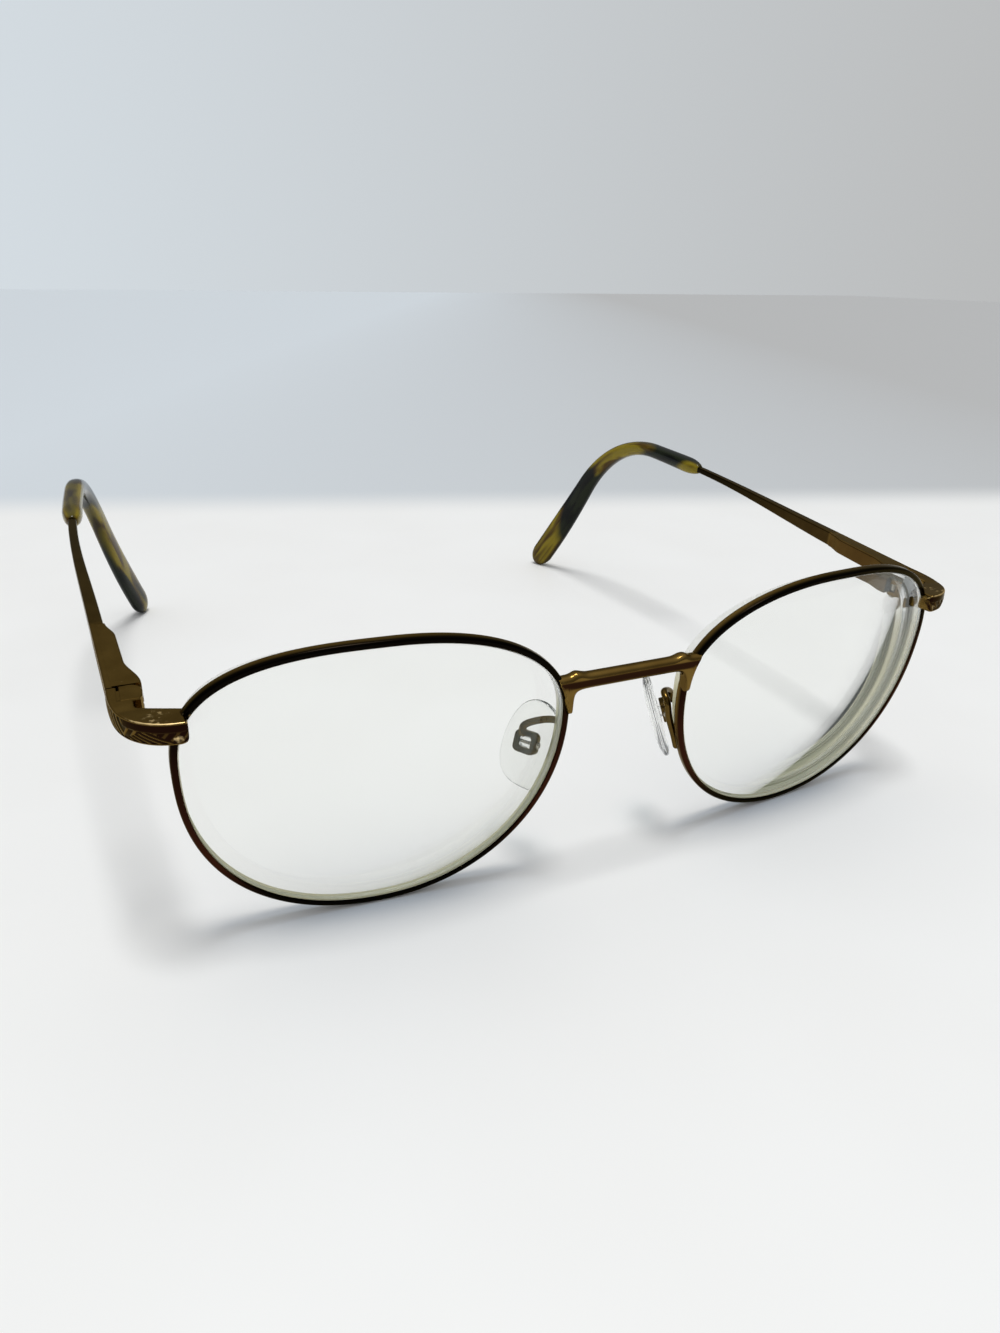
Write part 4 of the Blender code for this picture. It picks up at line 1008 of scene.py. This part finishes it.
def endpiece_lines():
    """The endpiece seen from above: matching points of its outer and inner lines.

    The outer line bends like a superellipse from the butt face to the rim, and is spaced
    evenly by its length; the inner one steps in behind the hinge fork and runs out to the rim.
    """
    butt_outer = outer_face(endpiece_butt)
    step_y = -fork_base_front - braze_film
    along = 1 - (1 - np.linspace(0.0, 1.0, endpiece_steps)) ** 2
    inwards = 1 - (1 - along**corner_power) ** corner_root
    x = between(butt_outer, rim_end_x, inwards)
    y = between(endpiece_butt, rim_end_y, along)
    length = length_along(x, y)
    run = np.linspace(0.0, length[-1], endpiece_sections)
    outer = np.stack([np.interp(run, length, x), np.interp(run, length, y)], axis=-1)
    turn = np.linspace(0.0, -math.pi / 2, corner_points)
    heel_x = -heel_inside + heel_radius * np.cos(turn)
    heel_y = step_y - heel_drop + heel_radius * np.sin(turn)
    step_run = np.interp(-step_y, -y, length)
    heel_run = np.linspace(step_run + heel_run_start, step_run + heel_run_end, len(turn))
    strip_x = butt_outer - endpiece_strip
    knots_x = [strip_x, strip_x, heel_x[0], *heel_x, rim_end_x]
    knots_y = [endpiece_butt, step_y, step_y, *heel_y, rim_end_y + endpiece_bar_depth]
    knots = [0.0, step_run, step_run + step_run_length, *heel_run, length[-1]]
    inner = np.stack([np.interp(run, knots, knots_x), np.interp(run, knots, knots_y)], axis=-1)
    return outer, inner, run


def hatched_face(shape, up, half_height):
    """Which points lie on the outer face, how high on it, and where its hatching fades out."""
    on_face = (shape[:, 2] > hatched_turn) * 1.0
    level = np.clip(up / half_height, -1.0, 1.0)
    return on_face, level, 1 - smooth_step(np.abs(level), edge_fade_start, 1.0)


def make_endpiece(side, hand, finish):
    """The endpiece: sections between its outer and inner lines, hatched on the outer face.

    Slanted ribs round the corner, long strokes beside the rim and a fan of fine lines low
    between them are each a ridge wave on the face's own distance and height.
    """
    outer, inner, run = endpiece_lines()
    middle, reach = (outer + inner) / 2, outer - inner
    width = np.linalg.norm(reach, axis=1)
    shape = section(*endpiece_section)
    drawn_in = drawn_in_at(run[-1] - run, endpiece_end_round)
    across, up = spread(shape, width / 2 - drawn_in, end_half_height - drawn_in, edge_round)
    on_face, level, edge_fade = hatched_face(shape, up, end_half_height - edge_round)
    # The outer face bulges a little between its edges
    bulge = face_bulge * (1 - level**2) * on_face
    from_rim = run[-1] - run[:, None]
    ribs = ridge((run[:, None] + rib_slant * up) / rib_pitch)
    strokes = ridge((from_rim + stroke_slant * up) / stroke_pitch)
    fan = ridge((up - fan_slant * (from_rim - fan_from_rim)) / fan_pitch)
    in_fan = np.abs(from_rim - fan_from_rim) / fan_half_width + (level + 1) / fan_rise < 1
    on_side = smooth_step(from_rim, ribs_end_front, ribs_end_front + ribs_end_blur)
    plain_top = smooth_step(level, *plain_top_levels) * (1 - on_side)
    land = np.where(on_side > 0.5, ribs, np.where(in_fan, fan, strokes))
    land = np.maximum(land, plain_top)
    cut = hatch_depth * (1 - land) * on_face * edge_fade
    offset = across + bulge - cut
    # The lower corner beside the rim is rounded off: its edge rises by a quarter circle
    lift = endpiece_heel_lift * drawn_in_at(from_rim, endpiece_heel_round)
    up = up + lift * (end_half_height - up) / end_height
    place = middle[:, None] + offset[..., None] * (reach / width[:, None])[:, None]
    grid = hinge_point(side, place[..., 0], place[..., 1], up)
    # It slopes with the temple only at the hinge, and is level from there to the rim
    grid[..., 2] += math.tan(temple_rise) * np.maximum(-endpiece_level_from - place[..., 1], 0.0)
    away = smooth_step(from_rim, stroke_olive_from, stroke_olive_to)
    stroke_olive = stroke_olive_near + stroke_olive_more * away
    olive = np.where(on_side > 0.5, rib_olive, np.where(in_fan, 1.0, stroke_olive))
    # The plain upper band of the face is left wholly dark: painted shade for the dark room that
    # the bulging face reflects there
    olive = olive * land * (1 - plain_top)
    lacquer_and_painted_shade = on_face * (1 - olive * edge_fade)
    # Painted shade on the faces that look down
    under = endpiece_painted_shade_below * smooth_step(-shape[:, 3], *endpiece_below_turn)
    lacquer_and_painted_shade = np.maximum(lacquer_and_painted_shade, under)
    # Painted highlight: a gold line along the top edge at the front; the rubbing on the top near
    # the rim and low at the end of the face is wear
    top_edge = (shape[:, 2:].min(axis=1) > endpiece_edge_turn) * 1.0
    near_rim = bell(from_rim - top_rub_middle, top_rub_width)
    on_front = smooth_step(-from_rim, -edge_highlight_from, -edge_highlight_to)
    on_top = (shape[:, 3] > endpiece_top_turn) * 1.0
    rubbed_end = bell(from_rim - end_rub_middle, end_rub_width)
    rubbed_end = rubbed_end * on_face * smooth_step(-level, *end_rub_levels)
    worn_and_painted_highlight = edge_painted_highlight * top_edge * on_front + top_rub * near_rim * on_top + end_rub * rubbed_end
    copper = endpiece_copper * on_face * (1 - on_side)
    marks = {"lacquer_and_painted_shade": lacquer_and_painted_shade, "worn_and_painted_highlight": worn_and_painted_highlight, "copper": copper}
    add_skin("fine_endpiece_" + hand, grid, finish, "front", ["endpiece_" + hand], marks)


def make_braze(side, hand, finish):
    """The braze that fills the seam between the hinge fork and the corner piece.

    It is an L seen from above, in two blocks that lie just under both pieces' tops.
    """
    strip = outer_face(endpiece_butt) - endpiece_strip
    behind = (fork_outer - braze_lap, strip + braze_lap, -fork_base_front, braze_end)
    ahead = (
        -heel_inside,
        strip + braze_lap,
        -fork_base_front - braze_film - braze_lap,
        -fork_base_front + braze_lap,
    )
    for part, (low_x, high_x, low_s, high_s) in (("behind", behind), ("ahead", ahead)):
        shape = section(*braze_section)
        across, up = spread(
            shape, (high_x - low_x) / 2, end_half_height - 2 * braze_dip, braze_round
        )
        s = np.linspace(low_s, high_s, braze_layers)[:, None]
        grid = hinge_point(side, (low_x + high_x) / 2 + across, s, up)
        piece = add_skin("braze_" + part + "_fork_" + hand, grid, finish, "front")


def housing_inner_face(s):
    """The spring box's face towards the head: bulging at the hinge and drawn in twice."""
    draw_in = housing_draw_in * smooth_step(s, housing_draw_start, housing_draw_end)
    slope = housing_slope * np.maximum(s - housing_draw_end, 0.0)
    tail = housing_tail * smooth_step(s, housing_tail_start, housing_rear)
    return -housing_bulge + draw_in + slope + tail


def make_housing(side, hand, finish):
    """The spring box: sections between its bulging inner face and the cover, which it laps."""
    s = np.linspace(housing_front, housing_rear, housing_sections)
    inner = housing_inner_face(s)
    outer = outer_face(s) - housing_cover + housing_lap
    top = end_half_height + temple_top_rise * s - braze_dip
    bottom = top - temple_height(s) + 2 * braze_dip
    shape = section(*housing_section)
    across, up = spread(shape, (outer - inner) / 2, (top - bottom) / 2, housing_round)
    x = (outer + inner)[:, None] / 2 + across
    t = (top + bottom)[:, None] / 2 + up
    grid = hinge_point(side, x, s[:, None], t)
    ends = smooth_step(s, housing_rear - housing_rub_length, housing_rear)[:, None]
    worn_and_painted_highlight = (housing_rub + housing_rub_more * ends) * faces_up(shape)
    # Painted shade on the faces towards the head, which would otherwise show the bright table
    inside = housing_painted_shade_inside * faces_in(shape)
    marks = {"worn_and_painted_highlight": worn_and_painted_highlight, "lacquer_and_painted_shade": inside, "copper": housing_copper}
    body = "temple_" + hand
    add_skin("fine_spring_box_" + hand, grid, finish, body, ["spring_housing_" + hand], marks)


def stations(*stretches, more=()):
    """Distances along the temple: each stretch's start, end and count, and any more of them."""
    places = [np.linspace(*stretch) for stretch in stretches]
    return np.unique(np.concatenate([*places, *more]))


def line_point(side, c, x, t, up):
    """A place by the temple's line: x out from the hinge, and up from height t, square to it."""
    s, _, heading = path_point(c)
    rise, back = up * np.cos(heading)[:, None], up * np.sin(heading)[:, None]
    return hinge_point(side, x, s[:, None] + back, t[:, None] + rise)


def make_temple(side, hand, finish):
    """The temple: a bar's section along its line, ribbed outside, stepping down to a wire."""
    # Dense over the ribs, one step behind the box, then sparse
    c = stations(
        (endpiece_butt + butt_gap, housing_rear + braze_film / 2, 300),
        (housing_rear + braze_film, sleeve_start, 60),
        (sleeve_start, bend_start, 8),
        (bend_start, bend_end, 24),
        (bend_end, path_end - core_end_margin, 8),
    )
    thin = smooth_step(c, housing_rear, sleeve_start)
    full = between(temple_thickness_rear, temple_thickness_tip, thin)
    thickness = np.where(c < housing_rear + braze_film, housing_cover, full)
    half_height = temple_height(c) / 2
    straight = end_half_height + temple_top_rise * c - half_height
    t = np.where(c < sleeve_start, straight, path_point(c)[1])
    shape = section(*temple_section)
    radius = np.minimum(temple_round, temple_round_most * half_height)
    across, up = spread(shape, thickness / 2, half_height, radius)
    x = (outer_face(c) - thickness / 2 - tip_lean_in(c))[:, None]
    on_face, level, edge_fade = hatched_face(shape, up, (half_height - radius)[:, None])
    fade = (1 - smooth_step(c, ribs_fade_start, ribs_fade_end))[:, None]
    land = ridge((-c[:, None] + rib_slant * up) / rib_pitch)
    cut = hatch_depth * (1 - land) * on_face * fade * edge_fade
    grid = line_point(side, c, x + across - cut, t, up)
    behind = smooth_step(c, housing_rear, housing_rear + wire_dark_blur)[:, None]
    dark = wire_dark + wire_dark_more * thin[:, None]
    # Painted shade on the wire's faces towards the head; the darkness of the wire itself is its
    # lacquer
    dark = dark + wire_painted_shade_inside * faces_in(shape)
    face_dark = 1 - temple_rib_olive * land * fade
    lacquer_and_painted_shade = np.maximum(on_face * face_dark, dark * behind * (1 - on_face))
    worn_and_painted_highlight = temple_rub * faces_up(shape) * (1 - behind)
    copper = temple_copper * (1 - smooth_step(c, housing_rear, temple_copper_end))[:, None]
    marks = {"lacquer_and_painted_shade": lacquer_and_painted_shade, "worn_and_painted_highlight": worn_and_painted_highlight, "copper": copper}
    add_skin("fine_temple_" + hand, grid, finish, "temple_" + hand, ["temple_" + hand], marks)


def make_tip(side, hand, finish):
    """The ear tip: ovals along the temple's line, widening to a rounded end on the table.

    Behind the bend the ovals turn about the line, so that the inner face looks forwards.
    """
    mouth = 1 - np.cos(np.linspace(0.0, math.pi / 2, tip_mouth_layers))
    cap = np.sin(np.linspace(0.0, math.pi / 2, tip_cap_layers))[1:-1]
    c = stations(
        (tip_mouth_start + tip_mouth_clear * tip_mouth_length, bend_start, 20),
        (bend_start, bend_end, 60),
        (bend_end, path_end, 40),
        more=(tip_mouth_start + tip_mouth_length * mouth, path_end + tip_cap_length * cap),
    )
    opened = np.clip((c - tip_mouth_start) / tip_mouth_length, 0.0, 1.0)
    opened = (1 - (1 - opened) ** 2) ** tip_mouth_power
    start_round = between(tip_mouth_share, 1.0, opened)
    widen = smooth_step(c, bend_start + tip_end_margin, path_end - tip_end_margin)
    narrow = smooth_step(c, sleeve_start, bend_start)
    height = between(tip_height_sleeve, tip_height_bend, narrow)
    height = (height + (tip_height_end - tip_height_bend) * widen) * start_round
    width = between(tip_width_sleeve, tip_width_end, widen) * start_round
    fade = np.sqrt(1 - np.clip((c - path_end) / tip_cap_length, 0.0, 1.0) ** 2)
    height, width = height * fade, width * fade**tip_cap_power
    oval_x, oval_y = oval(full_turn(tip_points), tip_section_power)
    across, up = width[:, None] / 2 * oval_x, height[:, None] / 2 * oval_y
    twist = tip_twist * smooth_step(c, bend_start, path_end)[:, None]
    turned_across = across * np.cos(twist) - up * np.sin(twist)
    turned_up = across * np.sin(twist) + up * np.cos(twist)
    x = (outer_face(c) - temple_thickness_tip / 2 - tip_lean_in(c))[:, None]
    grid = line_point(side, c, x + turned_across, path_point(c)[1], turned_up)
    along = c[:, None] + (side + 1) * tip_pattern_shift
    edge = tip_dark_edge * smooth_step(np.abs(oval_y), tip_dark_edge_from, 1.0)
    amber_middle = tip_amber_left if side > 0 else tip_amber_right
    wave = np.cos(2 * math.pi * (c - amber_middle) / tip_amber_spacing)
    band = tip_amber_gather * wave[:, None]
    marks = {"along": along, "round": up, "across": across, "edge": edge, "band": band}
    body = "temple_" + hand
    add_skin("fine_temple_tip_" + hand, grid, finish, body, ["temple_tip_" + hand], marks)


# ---- Nose pads ------------------------------------------------------------------------------


def make_pad(side, hand, finish):
    """The nose pad: its oval shrunk in layers, flat behind and domed towards the nose.

    Each layer's share of the oval is a power of the cosine of an angle that runs from the
    middle of the back to the middle of the dome, and its height a power of that angle's sine.
    """
    angle = np.linspace(-pad_last_turn, pad_last_turn, pad_layers)[:, None]
    dome = angle > 0
    share_power, lift_power = (
        np.where(dome, *powers) for powers in zip(pad_dome_powers, pad_back_powers)
    )
    share = np.cos(angle) ** share_power
    lift = np.abs(np.sin(angle)) ** lift_power
    rise = pad_widest_height + np.where(dome, 1 - pad_widest_height, -pad_widest_height) * lift
    oval_x, oval_y = oval(full_turn(pad_points), pad_outline_power)
    along, up = pad_width / 2 * share * oval_x, pad_height / 2 * share * oval_y
    along = along * (1 - pad_narrowing * up / (pad_height / 2))
    grid = pad_point(side, along, up, rise * pad_thickness)
    body = "nose_pad_" + hand
    add_skin("fine_nose_pad_" + hand, grid, finish, body, ["nose_pad_" + hand])


def make_pad_lug(side, hand, finish):
    """The pad's lug in its box: a rounded block that reaches back from the pad."""
    out = np.linspace(-pad_lug_reach, 0.0, pad_lug_layers)
    shape = section(*pad_lug_section)
    at_end = 1 - smooth_step(out, -pad_lug_reach, pad_lug_end_length - pad_lug_reach)
    shrink = pad_lug_end_round * at_end
    along, up = spread(
        shape, pad_lug_thickness / 2 - shrink, pad_lug_height / 2 - shrink, pad_lug_round
    )
    grid = pad_point(side, along, box_raise + up, out[:, None])
    piece = add_skin("pad_lug_" + hand, grid, finish, "nose_pad_" + hand)


def make_pad_box(side, hand, finish):
    """The pad's box: a rounded bar's section carried round a rounded rectangle, closed."""
    half_width = pad_lug_thickness / 2 + box_lug_clearance + box_wall / 2
    half_height = box_height / 2 - box_wall / 2
    path = section(*box_path_section)
    route_x, route_y = spread(path, half_width, half_height, box_corner)
    route = np.stack([route_x[0], route_y[0]], axis=-1)
    run = np.roll(route, -1, axis=0) - np.roll(route, 1, axis=0)
    normal = np.stack([run[:, 1], -run[:, 0]], axis=-1) / np.linalg.norm(run, axis=1)[:, None]
    shape = section(*box_wall_section)
    across, up = spread(shape, box_wall / 2, box_depth / 2, box_round)
    place = route[:, None] + across[0][None, :, None] * normal[:, None]
    out = -box_pad_gap - box_depth / 2 + up[0]
    grid = pad_point(side, place[..., 0], box_raise + place[..., 1], out[None, :])
    name = "fine_pad_box_" + hand
    add_skin(name, grid, finish, "front", ["pad_box_" + hand], box_marks, loop=True)


def make_pad_arm(side, hand, finish):
    """The pad's arm: a round wire on a smooth route from behind the rim over to the box."""
    radius = pad_arm_wire / 2

    def behind_rim(rise, inset, off):
        lip_u, lip_v = nose_edge(rise)
        back = sag(lip_u, lip_v) + rim_depth + radius + braze_film + off
        return front_point(side, lip_u - inset, lip_v, back)

    box_back = -box_pad_gap - box_depth - radius - braze_film
    knots = [behind_rim(*np.multiply(place, MM)) for place in pad_arm_route]
    for over_box in (pad_arm_above_box, pad_arm_on_box):
        knots.append(pad_point(side, 0.0, box_raise + over_box, box_back))
    route = smooth_route(knots, pad_arm_steps)
    share = np.linspace(0.0, 1.0, len(route))
    ends = np.clip(np.minimum(share, 1 - share) / pad_arm_end_share, 0.0, 1.0)
    rounded = np.sqrt(1 - pad_arm_end_round * (1 - ends) ** 2)
    grid = wire_rings(route, radius * rounded)
    name = "fine_pad_arm_" + hand
    add_skin(name, grid, finish, "front", ["pad_arm_" + hand], pad_arm_marks)


bronze = antique_bronze()
steel = turned_steel()
resin = lens_resin()
silicone = clear_silicone()
acetate = tortoise_acetate()

# Nodes that show as the solids are
plain_nodes = (
    (bronze, "hinge_fork rim_lock"),
    (steel, "hinge_screw hinge_tongue hinge_spring spring_stop rim_lock_screw pad_screw"),
)

make_bridge(bronze)
for side, hand in ((-1, "right"), (1, "left")):
    make_rim(side, hand, bronze)
    make_lens(side, hand, resin)
    make_endpiece(side, hand, bronze)
    make_braze(side, hand, bronze)
    make_housing(side, hand, bronze)
    make_temple(side, hand, bronze)
    make_tip(side, hand, acetate)
    make_pad(side, hand, silicone)
    make_pad_lug(side, hand, silicone)
    make_pad_box(side, hand, bronze)
    make_pad_arm(side, hand, bronze)
    for finish, nodes in plain_nodes:
        for node in nodes.split():
            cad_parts[node + "_" + hand].data.materials[0] = finish


# ---- Table, light and camera ----------------------------------------------------------------

camera_place = (-61.9 * MM, -160.22 * MM, 79.4 * MM)
camera_heading = math.radians(24.77)
camera_dip = math.radians(23.85)
camera_roll = math.radians(1.09)
camera_nearest = 5.0 * MM
photo_long_side = 1333
focal_pixels = 900
sensor_long_side = 36.0
straight_on = (math.sin(camera_heading), math.cos(camera_heading), 0.0)
to_the_right = (math.cos(camera_heading), -math.sin(camera_heading), 0.0)
table_half_side = 3.0
table_edge_ahead = 0.334
table_edge_turn = 0.125
table_edge_blur = 0.020
table_white_low, table_white_high = "#EDEDEB", "#F3F4F3"
floor_left_end, floor_right_end = -0.22, 0.34
backdrop_end = 0.50
backdrop_left, backdrop_right = "#D5DDE3", "#B9BABA"
lamp_way = (0.02, -0.05, 1.0)
lamp_strength = 1.65
lamp_angle = math.radians(17.0)
ceiling_low, ceiling_high = 0.40, 0.92
wall_light, ceiling_light = "#8C8D8F", "#DBDCDD"


def add_object(name, data):
    """An object with this data, in the scene."""
    thing = bpy.data.objects.new(name, data)
    bpy.context.collection.objects.link(thing)
    return thing


def make_camera():
    """The camera looks along its heading and dip, then rolls about that line."""
    level = math.cos(camera_dip)
    ahead = Vector((straight_on[0] * level, straight_on[1] * level, -math.sin(camera_dip)))
    right = Vector(to_the_right)
    up = right.cross(ahead)
    rolled_right = math.cos(camera_roll) * right + math.sin(camera_roll) * up
    rolled_up = math.cos(camera_roll) * up - math.sin(camera_roll) * right
    turn = Matrix((rolled_right, rolled_up, -ahead)).transposed().to_4x4()
    data = bpy.data.cameras.new("camera")
    data.sensor_width = sensor_long_side
    data.lens = sensor_long_side * focal_pixels / photo_long_side
    data.clip_start = camera_nearest
    camera = add_object("camera", data)
    camera.matrix_world = Matrix.Translation(camera_place) @ turn
    bpy.context.scene.camera = camera


def make_table():
    """A white laminate table top; past its far edge lies a pale blue-grey floor."""
    material, tree, shader = new_finish("white_laminate_table", Roughness=0.5)
    coords = object_place(tree)
    edge_way = (
        straight_on[0] - table_edge_turn * straight_on[1],
        straight_on[1] + table_edge_turn * straight_on[0],
        0.0,
    )
    ahead = reach_along(tree, coords, edge_way)
    start = camera_place[0] * edge_way[0] + camera_place[1] * edge_way[1] + table_edge_ahead
    beyond = rise_from(tree, ahead, start - table_edge_blur, start + table_edge_blur)
    rightness = reach_along(tree, coords, to_the_right)
    rightness = map_from(tree, rightness, floor_left_end, floor_right_end)
    floor = blend(tree, rightness, backdrop_left, backdrop_right)
    # Faint mottling, 40 mm across
    mottle = noise(tree, coords, 25.0, 2.0)
    white = blend(tree, mottle, table_white_low, table_white_high)
    link_to(tree, shader, Base_Color=blend(tree, beyond, white, floor))
    mesh = bpy.data.meshes.new("table_top")
    ways = ((-1, -1), (1, -1), (1, 1), (-1, 1))
    corners = [(x * table_half_side, y * table_half_side, 0) for x, y in ways]
    mesh.from_pydata(corners, [], [(0, 1, 2, 3)])
    mesh.materials.append(material)
    table = add_object("table_top", mesh)


def make_ceiling_light():
    """Soft light from straight above, as even as a wide lamp's, for the whole table."""
    data = bpy.data.lights.new("ceiling_light", "SUN")
    data.energy = lamp_strength
    data.angle = lamp_angle
    lamp = add_object("ceiling_light", data)
    facing = (-Vector(lamp_way)).to_track_quat("-Z", "Y")
    lamp.matrix_world = Matrix.Translation(lamp_way) @ facing.to_matrix().to_4x4()


def make_room():
    """The room: a pale ceiling over dimmer walls, behind a plain backdrop for the camera."""
    world = bpy.data.worlds.new("room")
    bpy.context.scene.world = world
    world.use_nodes = True
    tree = world.node_tree
    towards = add_node(tree, "ShaderNodeTexCoord").outputs["Generated"]
    overhead = add_node(tree, "ShaderNodeSeparateXYZ", {"Vector": towards}).outputs["Z"]
    overhead = rise_from(tree, overhead, ceiling_low, ceiling_high)
    light = blend(tree, overhead, wall_light, ceiling_light)
    rightness = reach_along(tree, towards, to_the_right)
    rightness = map_from(tree, rightness, -backdrop_end, backdrop_end)
    backdrop = blend(tree, rightness, backdrop_left, backdrop_right)
    seen = add_node(tree, "ShaderNodeLightPath").outputs["Is Camera Ray"]
    link_to(tree, tree.nodes["Background"], Color=blend(tree, seen, light, backdrop))


make_camera()
make_table()
make_ceiling_light()
make_room()

bpy.context.scene.view_settings.view_transform = "Standard"
